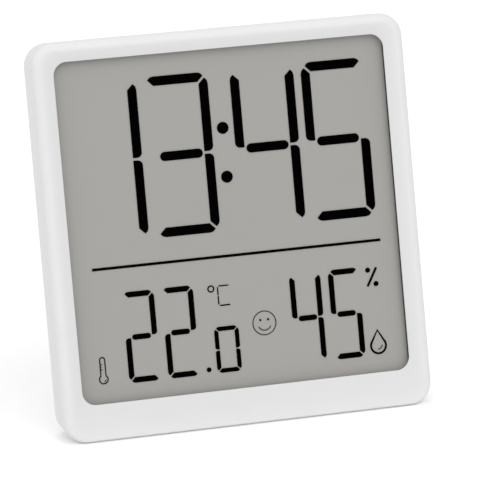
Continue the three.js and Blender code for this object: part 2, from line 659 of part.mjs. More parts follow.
// Back shell: tapered walls, battery bay, stand recess, screw posts, button dish, hanger and air slots
function rearCover() {
  const sectionAt = (depth, inset, lift) => ({
    depth,
    half: CASE_HALF - inset,
    bottom: floorAt(depth) + lift,
    top: CASE_HEIGHT - inset,
    corner: CASE_CORNER - COVER_STEP,
  });
  const taperAt = (depth) => COVER_STEP + (depth - COVER_FRONT) * COVER_TAPER;
  const outer = [
    sectionAt(COVER_FRONT, COVER_STEP, 0),
    sectionAt(SHOULDER_DEPTH, taperAt(SHOULDER_DEPTH), 0),
  ];
  for (let step = 1; step <= EDGE_STEPS; step += 1) {
    const angle = step / EDGE_STEPS * Math.PI / 2;
    const depth = SHOULDER_DEPTH + COVER_ROUND * Math.sin(angle);
    const turn = COVER_ROUND * (1 - Math.cos(angle));
    outer.push(sectionAt(depth, taperAt(depth) + turn, turn));
  }
  const room = loft([
    sectionAt(COVER_FRONT - FIT, COVER_STEP + COVER_WALL, COVER_WALL),
    sectionAt(SHOULDER_DEPTH, taperAt(SHOULDER_DEPTH) + COVER_WALL, COVER_WALL),
    sectionAt(COVER_INSIDE, taperAt(COVER_INSIDE) + COVER_WALL + FIT, COVER_WALL + FIT),
  ]);
  const shell = cut(loft(outer), room);

  const bayBlock = box(
    BAY_LEFT - BAY_WALL,
    BAY_RIGHT + BAY_WALL,
    BAY_FRONT,
    DOOR_FRONT - FIT,
    BAY_RISE - BAY_HALF - BAY_WALL,
    BAY_TOP,
  );
  const doorHole = box(
    DOOR_LEFT,
    DOOR_RIGHT,
    COVER_INSIDE - FIT,
    CASE_DEPTH + FIT,
    BAY_RISE - DOOR_HALF,
    BAY_RISE + DOOR_HALF,
  );
  const bayRim = box(
    DOOR_LEFT - BAY_WALL,
    DOOR_RIGHT + BAY_WALL,
    DOOR_FRONT - FIT - COVER_WALL,
    COVER_INSIDE + COVER_WALL / 2,
    BAY_RISE - BAY_HALF - BAY_WALL,
    BAY_RISE + DOOR_HALF + BAY_WALL,
  );
  const bayRoom = box(
    BAY_LEFT,
    BAY_RIGHT,
    BAY_FRONT + BAY_FLOOR,
    CASE_DEPTH + FIT,
    BAY_RISE - BAY_HALF,
    BAY_RISE + BAY_HALF,
  );
  const tabNotches = [-1, 1].map((side) => {
    const x = (DOOR_LEFT + DOOR_RIGHT) / 2 + side * DOOR_TAB_SPREAD;
    const half = DOOR_TAB_WIDTH / 2 + FIT;
    const front = DOOR_FRONT - DOOR_TAB_ROOM;
    const low = BAY_RISE - DOOR_HALF - DOOR_TAB_REACH - FIT;
    return box(x - half, x + half, front, COVER_INSIDE, low, BAY_RISE);
  });
  const platePass = [NEGATIVE_PLATE_X, POSITIVE_PLATE_X].map((x) => box(
    x - FIT,
    x + CONTACT_PLATE + FIT,
    CELL_DEPTH - CONTACT_TAB_HALF - FIT,
    CELL_DEPTH + CONTACT_TAB_HALF + FIT,
    BAY_RISE,
    BAY_TOP + FIT,
  ));

  const recessBlock = box(
    -RECESS_HALF - LEG_PIN_LENGTH - COVER_WALL,
    RECESS_HALF + LEG_PIN_LENGTH + COVER_WALL,
    RECESS_FRONT - COVER_WALL,
    COVER_INSIDE + COVER_WALL / 2,
    floorAt(COVER_INSIDE) + COVER_WALL,
    RECESS_TOP + COVER_WALL,
  );
  const recess = box(-RECESS_HALF, RECESS_HALF, RECESS_FRONT, CASE_DEPTH + FIT, -FIT, RECESS_TOP);
  const pinHole = crossRod(
    -RECESS_HALF - LEG_PIN_LENGTH,
    RECESS_HALF + LEG_PIN_LENGTH,
    HINGE_DEPTH,
    HINGE_RISE,
    LEG_PIN_RADIUS + FIT,
    ROUND_SIDES,
  );

  const postBack = COVER_INSIDE + COVER_WALL / 2;
  const postRadius = CASE_SCREW_HEAD + FIT + COVER_WALL / 2;
  const posts = caseBosses.map(([x, z]) => rod(x, z, COVER_FRONT, postBack, postRadius, ROUND_SIDES));
  const postHoles = caseBosses.flatMap(([x, z]) => [
    rod(x, z, COVER_FRONT - FIT, CASE_DEPTH, CASE_PILOT),
    rod(x, z, COVER_FRONT + CASE_SCREW_SHELF, CASE_DEPTH + FIT, CASE_SCREW_HEAD + FIT, ROUND_SIDES),
  ]);

  const tabTop = CASE_HEIGHT - BEZEL_WALL - FIT;
  const tabSide = CASE_HALF - BEZEL_WALL - FIT;
  const tabBack = COVER_FRONT + (BEZEL_WALL - COVER_STEP) / COVER_TAPER;
  const topTabs = [-1, 1].map((side) => {
    const left = side * CASE_WIDTH / 4 - TAB_WIDTH / 2;
    const front = BEZEL_DEPTH - TAB_REACH;
    return box(left, left + TAB_WIDTH, front, tabBack, tabTop - TAB_THICK, tabTop);
  });
  const sideTabs = [-1, 1].map((side) => {
    const inner = side * (tabSide - TAB_THICK);
    const [left, right] = [Math.min(inner, side * tabSide), Math.max(inner, side * tabSide)];
    const z = CASE_HEIGHT / 2;
    return box(left, right, BEZEL_DEPTH - TAB_REACH, tabBack, z - TAB_WIDTH / 2, z + TAB_WIDTH / 2);
  });

  const through = [COVER_INSIDE - FIT, CASE_DEPTH + FIT];
  const capHoles = buttonX.map((x) => rod(x, BUTTON_RISE, ...through, BUTTON_RADIUS + FIT, ROUND_SIDES));
  const hangerHead = rod(0, KEYHOLE_HEIGHT, ...through, KEYHOLE_HEAD, ROUND_SIDES);
  const hangerSlot = box(
    -KEYHOLE_SLOT,
    KEYHOLE_SLOT,
    ...through,
    KEYHOLE_HEIGHT,
    KEYHOLE_HEIGHT + KEYHOLE_RISE,
  );
  const hangerEnd = rod(0, KEYHOLE_HEIGHT + KEYHOLE_RISE, ...through, KEYHOLE_SLOT, ROUND_SIDES);
  const airSlots = Array.from({ length: SLOT_COUNT }, (_, place) => {
    const x = SENSOR_X + (place - (SLOT_COUNT - 1) / 2) * SLOT_PITCH;
    return box(
      x - SLOT_WIDTH / 2,
      x + SLOT_WIDTH / 2,
      ...through,
      BUTTON_RISE - SLOT_HEIGHT / 2,
      BUTTON_RISE + SLOT_HEIGHT / 2,
    );
  });
  return cut(
    join(shell, bayBlock, bayRim, recessBlock, ...posts, ...topTabs, ...sideTabs),
    doorHole,
    bayRoom,
    ...tabNotches,
    ...platePass,
    recess,
    pinHole,
    ...postHoles,
    buttonDish(),
    ...capHoles,
    hangerHead,
    hangerSlot,
    hangerEnd,
    ...airSlots,
  );
}

// Battery door: flat panel with two hooks that turn under the cover below it
function batteryDoor() {
  const panel = box(
    DOOR_LEFT + FIT,
    DOOR_RIGHT - FIT,
    DOOR_FRONT,
    CASE_DEPTH,
    BAY_RISE - DOOR_HALF + FIT,
    BAY_RISE + DOOR_HALF - FIT,
  );
  const hookBack = COVER_INSIDE - FIT;
  const hooks = [-1, 1].flatMap((side) => {
    const x = (DOOR_LEFT + DOOR_RIGHT) / 2 + side * DOOR_TAB_SPREAD;
    const [left, right] = [x - DOOR_TAB_WIDTH / 2, x + DOOR_TAB_WIDTH / 2];
    const edge = BAY_RISE - DOOR_HALF;
    return [
      box(left, right, hookBack - DOOR_TAB, hookBack, edge - DOOR_TAB_REACH, edge + FIT + DOOR_TAB),
      box(left, right, hookBack - DOOR_TAB, DOOR_FRONT + DOOR / 2, edge + FIT, edge + FIT + DOOR_TAB),
    ];
  });
  return join(panel, ...hooks);
}

// Battery cell: sleeve with a stepped positive end
function batteryCell() {
  const back = -CELL_LENGTH / 2;
  const front = CELL_LENGTH / 2;
  return join(
    crossRod(back, front - CELL_NUB_LENGTH, CELL_DEPTH, BAY_RISE, CELL_RADIUS, ROUND_SIDES),
    crossRod(back + CELL_LENGTH / 2, front, CELL_DEPTH, BAY_RISE, CELL_NUB_RADIUS, ROUND_SIDES),
  );
}

// Conical coil contact, one unbroken wire, with the least distance between its turns printed
function batterySpring() {
  const steps = SPRING_TURNS * COIL_STEPS;
  const wire = SPRING_WIRE / 2;
  const startX = NEGATIVE_PLATE_X + CONTACT_PLATE + FIT + wire;
  const rise = SPRING_LENGTH - SPRING_WIRE;
  const path = [];
  for (let step = 0; step <= steps; step += 1) {
    const share = step / steps;
    const angle = step / COIL_STEPS * 2 * Math.PI;
    const radius = SPRING_WIDE + (SPRING_NARROW - SPRING_WIDE) * share;
    path.push(new THREE.Vector3(
      startX + rise * share,
      CELL_DEPTH + radius * Math.cos(angle),
      BAY_RISE + radius * Math.sin(angle),
    ));
  }
  let least = Infinity;
  path.forEach((point, i) => path.slice(i + COIL_STEPS / 2).forEach((other) => {
    least = Math.min(least, point.distanceTo(other) - SPRING_WIRE);
  }));
  console.log(`battery spring: least gap between turns ${least.toFixed(2)} mm`);
  const positions = [];
  path.forEach((point, i) => {
    const along = path[Math.min(i + 1, steps)].clone().sub(path[Math.max(i - 1, 0)]).normalize();
    const outward = new THREE.Vector3(0, point.y - CELL_DEPTH, point.z - BAY_RISE).normalize();
    const upward = along.clone().cross(outward).normalize();
    for (let side = 0; side < COIL_SIDES; side += 1) {
      const angle = side / COIL_SIDES * 2 * Math.PI;
      const corner = point.clone()
        .addScaledVector(outward, wire * Math.cos(angle))
        .addScaledVector(upward, wire * Math.sin(angle));
      positions.push(...corner.toArray());
    }
  });
  const index = [];
  const last = steps * COIL_SIDES;
  for (let side = 1; side < COIL_SIDES - 1; side += 1) {
    index.push(0, side + 1, side, last, last + side, last + side + 1);
  }
  for (let step = 0; step < steps; step += 1) {
    for (let side = 0; side < COIL_SIDES; side += 1) {
      const a = step * COIL_SIDES + side;
      const b = step * COIL_SIDES + (side + 1) % COIL_SIDES;
      index.push(a, b, b + COIL_SIDES, a, b + COIL_SIDES, a + COIL_SIDES);
    }
  }
  const geometry = new THREE.BufferGeometry();
  geometry.setAttribute('position', new THREE.Float32BufferAttribute(positions, 3));
  geometry.setIndex(index);
  return solid(geometry);
}

// Contact plate standing in the bay's end, with a solder tab through the bay wall
function contactPlate(x) {
  return join(
    box(
      x,
      x + CONTACT_PLATE,
      CELL_DEPTH - CONTACT_HALF,
      CELL_DEPTH + CONTACT_HALF,
      BAY_RISE - CONTACT_HALF,
      BAY_RISE + CONTACT_HALF,
    ),
    box(
      x,
      x + CONTACT_PLATE,
      CELL_DEPTH - CONTACT_TAB_HALF,
      CELL_DEPTH + CONTACT_TAB_HALF,
      BAY_RISE,
      BAY_TOP + CONTACT_TAB_RISE,
    ),
  );
}

// Insulated lead from a contact plate's tab up to the back of the board
function lead(tabX, side) {
  const padX = tabX + side * LEAD_SPREAD;
  const tabSide = tabX + (side > 0 ? CONTACT_PLATE : 0) + side * (FIT + LEAD_RADIUS);
  const padDepth = BOARD_BACK + FIT + LEAD_RADIUS;
  const route = new THREE.CatmullRomCurve3([
    new THREE.Vector3(tabSide, CELL_DEPTH, BAY_TOP + CONTACT_TAB_RISE / 2),
    new THREE.Vector3(tabSide + side * LEAD_ROOM, CELL_DEPTH, BAY_TOP + CONTACT_TAB_RISE),
    new THREE.Vector3(padX, padDepth, BOARD_BOTTOM + LEAD_ROOM),
    new THREE.Vector3(padX, padDepth, BOARD_BOTTOM + LEAD_OVERLAP),
  ]);
  const section = new THREE.Shape().absarc(0, 0, LEAD_RADIUS, 0, 2 * Math.PI);
  const geometry = new THREE.ExtrudeGeometry(section, {
    steps: LEAD_STEPS,
    extrudePath: route,
    curveSegments: LEAD_SIDES,
  });
  return solid(geometry);
}

// Easel leg, swung out: flat plate on two hinge pins, its end cut to lie on the table
function standLeg() {
  const slope = Math.tan(LEAN);
  const reachAt = (offset) =>
    (HINGE_RISE - floorAt(HINGE_DEPTH) + offset * (Math.sin(LEG_SWING) - Math.cos(LEG_SWING) * slope))
    / (Math.cos(LEG_SWING) + Math.sin(LEG_SWING) * slope);
  const point = (reach, offset) => new THREE.Vector2(
    HINGE_DEPTH + reach * Math.sin(LEG_SWING) + offset * Math.cos(LEG_SWING),
    HINGE_RISE - reach * Math.cos(LEG_SWING) + offset * Math.sin(LEG_SWING),
  );
  const side = LEG_THICK / 2;
  const outline = new THREE.Shape([
    point(0, -side),
    point(reachAt(-side), -side),
    point(reachAt(side), side),
    point(0, side),
  ]);
  const half = LEG_WIDTH / 2;
  const pinEnd = half + LEG_PIN_LENGTH;
  return join(
    profile(outline, -half, half),
    crossRod(-half, half, HINGE_DEPTH, HINGE_RISE, LEG_BARREL, ROUND_SIDES),
    crossRod(-pinEnd, pinEnd, HINGE_DEPTH, HINGE_RISE, LEG_PIN_RADIUS, ROUND_SIDES),
  );
}

// The assembly, leaned back about the lower front edge
const clock = new THREE.Group();
clock.rotation.x = -LEAN;

function place(name, body, material) {
  const mesh = body.getMesh();
  const geometry = new THREE.BufferGeometry();
  geometry.setAttribute('position', new THREE.Float32BufferAttribute(mesh.vertProperties, 3));
  geometry.setIndex(Array.from(mesh.triVerts));
  geometry.computeVertexNormals();
  const piece = new THREE.Mesh(geometry, material);
  piece.name = name;
  clock.add(piece);
}

place('front_bezel', frontBezel(), whitePlastic);
place('lcd_gasket', displayGasket(), foamGrey);
place('front_polarizer', displayPlate(POLARIZER_FRONT, POLARIZER), displayGrey);
place('front_glass', displayPlate(FRONT_GLASS_FRONT, GLASS, GLASS_LEDGE), clearGlass);
place('rear_glass', displayPlate(REAR_GLASS_FRONT, GLASS), clearGlass);
place('reflector', displayPlate(REFLECTOR_FRONT, POLARIZER), silverFilm);

TIME_DIGITS.forEach((numeral, i) => {
  const left = fromLeft(TIME_RIGHTS[i] - TIME_WIDTH);
  const body = digit(numeral, left, fromTop(TIME_TOP), TIME_WIDTH, TIME_HEIGHT, TIME_STROKE, SEGMENT_GAP);
  place(`time_digit_${i + 1}`, body, inkBlack);
});
place('time_colon', timeColon(), inkBlack);
place('divider_line', box(
  fromLeft(DIVIDER_FROM),
  fromLeft(DIVIDER_TO),
  SEGMENT_BACK - SEGMENT_FILM,
  SEGMENT_BACK,
  fromTop(DIVIDER_DROP) - DIVIDER_THICK / 2,
  fromTop(DIVIDER_DROP) + DIVIDER_THICK / 2,
), inkBlack);
place('temperature_digit_1', reading(2, TEMPERATURE_LEFTS[0]), inkBlack);
place('temperature_digit_2', reading(2, TEMPERATURE_LEFTS[1]), inkBlack);
place('temperature_digit_3', digit(
  0,
  fromLeft(TEMPERATURE_LEFTS[2]),
  fromTop(READING_TOP + READING_HEIGHT - TENTHS_HEIGHT),
  TENTHS_WIDTH,
  TENTHS_HEIGHT,
  TENTHS_STROKE,
  SEGMENT_GAP,
), inkBlack);
const pointDrop = READING_TOP + READING_HEIGHT - POINT_RADIUS;
place('temperature_point', film(fromLeft(POINT_X), fromTop(pointDrop), POINT_RADIUS), inkBlack);
place('humidity_digit_1', reading(4, HUMIDITY_LEFTS[0]), inkBlack);
place('humidity_digit_2', reading(5, HUMIDITY_LEFTS[1]), inkBlack);

place('zebra_strip', box(
  -STRIP_HALF,
  STRIP_HALF,
  FRONT_GLASS_FRONT + GLASS + FIT,
  BOARD_FRONT - FIT,
  DISPLAY_TOP + FIT,
  DISPLAY_TOP + FIT + STRIP_WIDTH,
), rubberPink);
place('lcd_holder', lcdHolder(), greyPlastic);
holderBosses.forEach(([x, z], i) => {
  const seat = HOLDER_BACK + FIT;
  const tip = LIP_BACK + 3 * FIT;
  const body = screw(x, z, seat, SMALL_SCREW_HEAD, SMALL_SCREW_HEAD_HEIGHT, SMALL_SCREW_SHANK, tip);
  place(`holder_screw_${i + 1}`, body, steel);
});
place('main_board', mainBoard(), boardGreen);
boardPosts.forEach(([x, z], i) => {
  const seat = BOARD_BACK + FIT;
  const tip = HOLDER_FRONT + FIT;
  const body = screw(x, z, seat, SMALL_SCREW_HEAD, SMALL_SCREW_HEAD_HEIGHT, SMALL_SCREW_SHANK, tip);
  place(`board_screw_${i + 1}`, body, steel);
});
place('controller_blob', controllerBlob(), epoxyBlack);
place('quartz_crystal', crossRod(
  -CRYSTAL_LENGTH / 2,
  CRYSTAL_LENGTH / 2,
  BOARD_BACK + FIT + CRYSTAL_RADIUS,
  BOARD_MIDDLE + CRYSTAL_LIFT,
  CRYSTAL_RADIUS,
), nickel);
const onBoard = (x, z, height, radius) => rod(x, z, BOARD_BACK + FIT, BOARD_BACK + FIT + height, radius);
place('thermistor', onBoard(THERMISTOR_X, BOARD_MIDDLE, THERMISTOR_HEIGHT, THERMISTOR_RADIUS), epoxyBlack);
place('humidity_sensor', box(
  SENSOR_X - SENSOR_SIDE / 2,
  SENSOR_X + SENSOR_SIDE / 2,
  BOARD_BACK + FIT,
  BOARD_BACK + FIT + SENSOR_HEIGHT,
  BOARD_MIDDLE - SENSOR_SIDE / 2,
  BOARD_MIDDLE + SENSOR_SIDE / 2,
), sensorWhite);
CAPACITOR_XS.forEach((x, i) => {
  const body = onBoard(x, BOARD_MIDDLE + CAPACITOR_LIFT, CAPACITOR_HEIGHT, CAPACITOR_RADIUS);
  place(`filter_capacitor_${i + 1}`, body, sleeveBlack);
});
buttonX.forEach((x, i) => {
  place(`switch_body_${i + 1}`, switchBody(x), epoxyBlack);
  const plunger = rod(x, BUTTON_RISE, PLUNGER_FRONT, PLUNGER_BACK, PLUNGER_RADIUS);
  place(`switch_plunger_${i + 1}`, plunger, greyPlastic);
});
['button_set', 'button_up', 'button_down'].forEach((name, i) => {
  place(name, buttonCap(buttonX[i]), greyPlastic);
});

place('rear_cover', rearCover(), whitePlastic);
caseBosses.forEach(([x, z], i) => {
  const seat = COVER_FRONT + CASE_SCREW_SHELF + FIT;
  const tip = LIP_BACK + 3 * FIT;
  const body = screw(x, z, seat, CASE_SCREW_HEAD, CASE_SCREW_HEAD_HEIGHT, CASE_SCREW_SHANK, tip);
  place(`case_screw_${i + 1}`, body, steel);
});
place('battery_door', batteryDoor(), whitePlastic);
place('battery_cell', batteryCell(), sleeveBlack);
place('battery_spring', batterySpring(), nickel);
place('negative_plate', contactPlate(NEGATIVE_PLATE_X), nickel);
place('positive_plate', contactPlate(POSITIVE_PLATE_X), nickel);
place('negative_lead', lead(NEGATIVE_PLATE_X, -1), blackLead);
place('positive_lead', lead(POSITIVE_PLATE_X, 1), redLead);
place('stand_leg', standLeg(), whitePlastic);

// The origin is the middle of the standing clock's outline on the table
const standing = new THREE.Box3().setFromObject(clock, true);
clock.position.set(0, -(standing.min.y + standing.max.y) / 2, -standing.min.z);

const object = new THREE.Group();
object.add(clock);

export default object;
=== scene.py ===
import json
import math

import bmesh
import bpy
from mathutils import Matrix, Vector


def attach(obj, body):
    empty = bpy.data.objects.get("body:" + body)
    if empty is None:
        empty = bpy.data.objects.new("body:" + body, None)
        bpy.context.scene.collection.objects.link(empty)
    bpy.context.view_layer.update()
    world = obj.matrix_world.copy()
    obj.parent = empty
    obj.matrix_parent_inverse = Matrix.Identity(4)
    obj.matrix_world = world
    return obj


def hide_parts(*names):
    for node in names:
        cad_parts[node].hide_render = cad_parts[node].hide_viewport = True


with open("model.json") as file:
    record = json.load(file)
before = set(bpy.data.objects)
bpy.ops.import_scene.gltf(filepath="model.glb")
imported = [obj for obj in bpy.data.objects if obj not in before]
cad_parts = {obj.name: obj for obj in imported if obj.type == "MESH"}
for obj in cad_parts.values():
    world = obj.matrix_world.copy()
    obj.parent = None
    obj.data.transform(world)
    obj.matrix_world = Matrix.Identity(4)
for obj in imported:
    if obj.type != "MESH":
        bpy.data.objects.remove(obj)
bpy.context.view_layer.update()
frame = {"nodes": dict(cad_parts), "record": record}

# Front bezel: one white injection-moulded frame with a rolled outer edge and a face that falls
# gently to the window, with painted shade that darkens its colour towards the window lip. The
# display rests behind the lip, and the foot is cut at the lean angle so that the whole clock
# stands on it.
metres_per_mm = 0.001
lean_axis = next(m for m in frame["record"]["mounts"] if m["name"] == "rear_face")["axis"]
lean = math.atan2(-lean_axis[2], lean_axis[1])
bezel_points = [v.co for v in frame["nodes"]["front_bezel"].data.vertices]
front_reach = min(p.y * math.cos(lean) - p.z * math.sin(lean) for p in bezel_points)
standing = Matrix.Translation((0, front_reach / math.cos(lean), 0)) @ Matrix.Rotation(-lean, 4, "X")
upright = standing @ Matrix.Scale(metres_per_mm, 4)


def node_box(name):
    points = [upright.inverted() @ v.co for v in frame["nodes"][name].data.vertices]
    return [(min(p[i] for p in points), max(p[i] for p in points)) for i in range(3)]


def node_middle(name):
    return [(low + high) / 2 for low, high in node_box(name)]


case_right, bezel_depth, case_height = (high for low, high in node_box("front_bezel"))
case_corner, window_corner = 8.5, 5.0
window_width, window_bottom, window_top = 125.0, 13.8, 139.0
edge_round, face_fall, lip_back, bezel_wall = 3.2, 1.0, 3.0, 2.2
window_round, lip_flare, back_round = 0.3, 0.9, 0.3
foot_round_share = 0.35
crest_flat, crest_ease_share = 0.05, 0.05
corner_steps, lip_steps, face_steps, edge_steps = 16, 5, 13, 10
quarter_turn = math.pi / 2


def floor_at(depth):
    return depth * math.tan(lean)


def round_ring(depth, half, bottom, top, corner):
    corners = (
        (half - corner, top - corner),
        (corner - half, top - corner),
        (corner - half, bottom + corner),
        (half - corner, bottom + corner),
    )
    points = []
    for quarter, (x, z) in enumerate(corners):
        for step in range(corner_steps + 1):
            angle = (quarter + step / corner_steps) * quarter_turn
            points.append((x + corner * math.cos(angle), depth, z + corner * math.sin(angle)))
    return points


def outer_ring(depth, inset):
    return round_ring(
        depth,
        case_right - inset,
        floor_at(depth) + foot_round_share * inset,
        case_height - inset,
        case_corner - inset,
    )


def window_ring(depth, outset):
    return round_ring(
        depth,
        window_width / 2 + outset,
        window_bottom - outset,
        window_top + outset,
        window_corner + outset,
    )


def skin(rings, closed):
    shape = bmesh.new()
    rows = [[shape.verts.new(point) for point in ring] for ring in rings]
    pairs = list(zip(rows, rows[1:] + rows[:1])) if closed else list(zip(rows, rows[1:]))
    for first, second in pairs:
        for i, corner in enumerate(first):
            after = (i + 1) % len(first)
            shape.faces.new((corner, first[after], second[after], second[i]))
    if not closed:
        shape.faces.new(rows[0])
        shape.faces.new(rows[-1])
    bmesh.ops.recalc_face_normals(shape, faces=shape.faces)
    return shape


def settle(name, shape, place):
    mesh = bpy.data.meshes.new(name)
    shape.to_mesh(mesh)
    shape.free()
    mesh.transform(place)
    mesh.shade_smooth()
    mesh.set_sharp_from_angle(angle=math.radians(32))
    piece = bpy.data.objects.new(name, mesh)
    bpy.context.scene.collection.objects.link(piece)
    return piece


def dress(piece, body, material, slot, *nodes):
    piece.data.materials.clear()
    piece.data.materials.append(material)
    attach(piece, body)
    if nodes:
        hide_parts(*nodes)


# Per ring, the share of painted shade: full at the window lip, fading out across the face.
bezel_rings, painted_window_shade = [window_ring(lip_back, lip_flare)], [1.0]
for step in range(lip_steps + 1):
    turn = step / lip_steps * quarter_turn
    bezel_rings.append(window_ring(
        face_fall + window_round * (1 - math.sin(turn)),
        window_round * (1 - math.cos(turn)),
    ))
    painted_window_shade.append(1.0)
crest = edge_round + crest_flat
for step in range(1, face_steps):
    share = step / face_steps
    over = max(0, share - 1 + crest_ease_share)
    swell = (share - over * over / (2 * crest_ease_share)) / (1 - crest_ease_share / 2)
    near = window_ring(face_fall * (1 - swell), window_round)
    far = outer_ring(face_fall * (1 - swell), crest)
    bezel_rings.append([tuple(Vector(a).lerp(Vector(b), share)) for a, b in zip(near, far)])
    painted_window_shade.append(1 - share * share)
bezel_rings.append(outer_ring(0, crest))
for step in range(edge_steps + 1):
    turn = step / edge_steps * quarter_turn
    bezel_rings.append(outer_ring(
        edge_round * (1 - math.cos(turn)),
        edge_round * (1 - math.sin(turn)),
    ))
bezel_rings.append(outer_ring(bezel_depth - back_round, 0))
bezel_rings.append(outer_ring(bezel_depth, back_round))
bezel_rings.append(outer_ring(bezel_depth, bezel_wall))
bezel_rings.append(outer_ring(lip_back, bezel_wall))
painted_window_shade += [0.0] * (len(bezel_rings) - len(painted_window_shade))


def shader(name):
    material = bpy.data.materials.new(name)
    material.use_nodes = True
    tree = material.node_tree
    return material, tree.nodes, tree.links, tree.nodes["Principled BSDF"]


def moulded_skin():
    group = bpy.data.node_groups.new("moulded_skin", "ShaderNodeTree")
    sockets = group.interface
    for label, value in (("Mottle scale", 40.0), ("Grain scale", 1800.0)):
        socket = sockets.new_socket(name=label, in_out="INPUT", socket_type="NodeSocketFloat")
        socket.default_value = value
    for label in ("Mottle", "Grain"):
        sockets.new_socket(name=label, in_out="OUTPUT", socket_type="NodeSocketFloat")
    ends = group.nodes.new("NodeGroupInput"), group.nodes.new("NodeGroupOutput")
    place = group.nodes.new("ShaderNodeTexCoord")
    clouds = group.nodes.new("ShaderNodeTexNoise")
    clouds.inputs["Detail"].default_value = 3
    pits = group.nodes.new("ShaderNodeTexNoise")
    pits.inputs["Detail"].default_value = 2
    for texture, label, result in ((clouds, "Mottle scale", "Mottle"), (pits, "Grain scale", "Grain")):
        group.links.new(place.outputs["Object"], texture.inputs["Vector"])
        group.links.new(ends[0].outputs[label], texture.inputs["Scale"])
        group.links.new(texture.outputs["Fac"], ends[1].inputs[result])
    return group


moulded_group = moulded_skin()


def moulded(
    name, pale, deep, gloss, matt, relief, mottle=40.0, grain=1800.0, specular=0.4, metallic=0.0
):
    material, nodes, links, surface = shader(name)
    skin_node = nodes.new("ShaderNodeGroup")
    skin_node.node_tree = moulded_group
    skin_node.inputs["Mottle scale"].default_value = mottle
    skin_node.inputs["Grain scale"].default_value = grain
    tint = nodes.new("ShaderNodeMix")
    tint.data_type = "RGBA"
    tint.inputs["A"].default_value = (*deep, 1)
    tint.inputs["B"].default_value = (*pale, 1)
    sheen = nodes.new("ShaderNodeMapRange")
    sheen.inputs["To Min"].default_value = gloss
    sheen.inputs["To Max"].default_value = matt
    bump = nodes.new("ShaderNodeBump")
    bump.inputs["Strength"].default_value = relief
    bump.inputs["Distance"].default_value = 0.1 * metres_per_mm
    surface.inputs["Specular IOR Level"].default_value = specular
    surface.inputs["Metallic"].default_value = metallic
    links.new(skin_node.outputs["Mottle"], tint.inputs["Factor"])
    links.new(tint.outputs["Result"], surface.inputs["Base Color"])
    links.new(skin_node.outputs["Mottle"], sheen.inputs["Value"])
    links.new(sheen.outputs["Result"], surface.inputs["Roughness"])
    links.new(skin_node.outputs["Grain"], bump.inputs["Height"])
    links.new(bump.outputs["Normal"], surface.inputs["Normal"])
    return material


white_tones = (0.764, 0.765, 0.766), (0.734, 0.735, 0.736)
white_finish = {"gloss": 0.36, "matt": 0.44, "relief": 0.06, "specular": 0.3}
bezel_white = moulded("bezel_white", *white_tones, **white_finish)
nodes, links = bezel_white.node_tree.nodes, bezel_white.node_tree.links
# Painted shade: the base colour is multiplied down by up to 7 % towards the window lip, by a mask
# stored on the frame's points.
painted_shade_read = nodes.new("ShaderNodeAttribute")
painted_shade_read.attribute_name = "painted_window_shade"
painted_shade_tint = nodes.new("ShaderNodeMix")
painted_shade_tint.data_type = "RGBA"
painted_shade_tint.blend_type = "MULTIPLY"
painted_shade_tint.inputs["B"].default_value = (0.93, 0.93, 0.93, 1)
base = nodes["Principled BSDF"].inputs["Base Color"]
links.new(painted_shade_read.outputs["Fac"], painted_shade_tint.inputs["Factor"])
links.new(base.links[0].from_socket, painted_shade_tint.inputs["A"])
links.new(painted_shade_tint.outputs["Result"], base)
bezel_frame = settle("bezel_frame", skin(bezel_rings, closed=True), upright)
bezel_frame.data.attributes.new("painted_window_shade", "FLOAT", "POINT").data.foreach_set(
    "value", [shade_share for shade_share, ring in zip(painted_window_shade, bezel_rings) for point in ring]
)
dress(bezel_frame, "case", bezel_white, "case_plastic", "front_bezel")

# Display layers: a foam frame behind the lip, a grey matt polarizing film, two sheets of glass
# with the liquid crystal between them, a silver film behind, and the striped rubber connector
# that feeds the glass from the board. They are stacked loose and clamped by the holder.


def finish_node(material, *names):
    for name in names:
        mesh = frame["nodes"][name].data
        mesh.materials.clear()
        mesh.materials.append(material)


gasket_foam = moulded(
    "gasket_foam", (0.06, 0.06, 0.063), (0.03, 0.03, 0.032),
    gloss=0.85, matt=0.95, relief=0.5, mottle=300.0, grain=2600.0, specular=0.2,
)
finish_node(gasket_foam, "lcd_gasket")

display_grey = moulded(
    "display_grey", (0.366, 0.355, 0.336), (0.354, 0.345, 0.326),
    gloss=0.52, matt=0.6, relief=0.05, mottle=18.0, grain=5200.0, specular=0.2,
)
finish_node(display_grey, "front_polarizer")

display_glass, nodes, links, surface = shader("display_glass")
surface.inputs["Base Color"].default_value = (0.86, 0.93, 0.9, 1)
surface.inputs["Transmission Weight"].default_value = 0.9
surface.inputs["IOR"].default_value = 1.5
film_marks = nodes.new("ShaderNodeGroup")
film_marks.node_tree = moulded_group
film_marks.inputs["Mottle scale"].default_value = 25
film_haze = nodes.new("ShaderNodeMapRange")
film_haze.inputs["To Min"].default_value = 0.02
film_haze.inputs["To Max"].default_value = 0.12
links.new(film_marks.outputs["Mottle"], film_haze.inputs["Value"])
links.new(film_haze.outputs["Result"], surface.inputs["Roughness"])
finish_node(display_glass, "front_glass", "rear_glass")

reflector_silver = moulded(
    "reflector_silver", (0.6, 0.6, 0.58), (0.52, 0.52, 0.5),
    gloss=0.28, matt=0.4, relief=0.1, mottle=60.0, grain=3000.0, metallic=0.6,
)
finish_node(reflector_silver, "reflector")

strip_rubber, nodes, links, surface = shader("strip_rubber")
strip_place = nodes.new("ShaderNodeTexCoord")
strip_layers = nodes.new("ShaderNodeTexWave")
strip_layers.inputs["Scale"].default_value = 500
strip_tint = nodes.new("ShaderNodeMix")
strip_tint.data_type = "RGBA"
strip_tint.inputs["A"].default_value = (0.58, 0.27, 0.22, 1)
strip_tint.inputs["B"].default_value = (0.03, 0.03, 0.03, 1)
surface.inputs["Roughness"].default_value = 0.75
links.new(strip_place.outputs["Object"], strip_layers.inputs["Vector"])
links.new(strip_layers.outputs["Fac"], strip_tint.inputs["Factor"])
links.new(strip_tint.outputs["Result"], surface.inputs["Base Color"])
finish_node(strip_rubber, "zebra_strip")

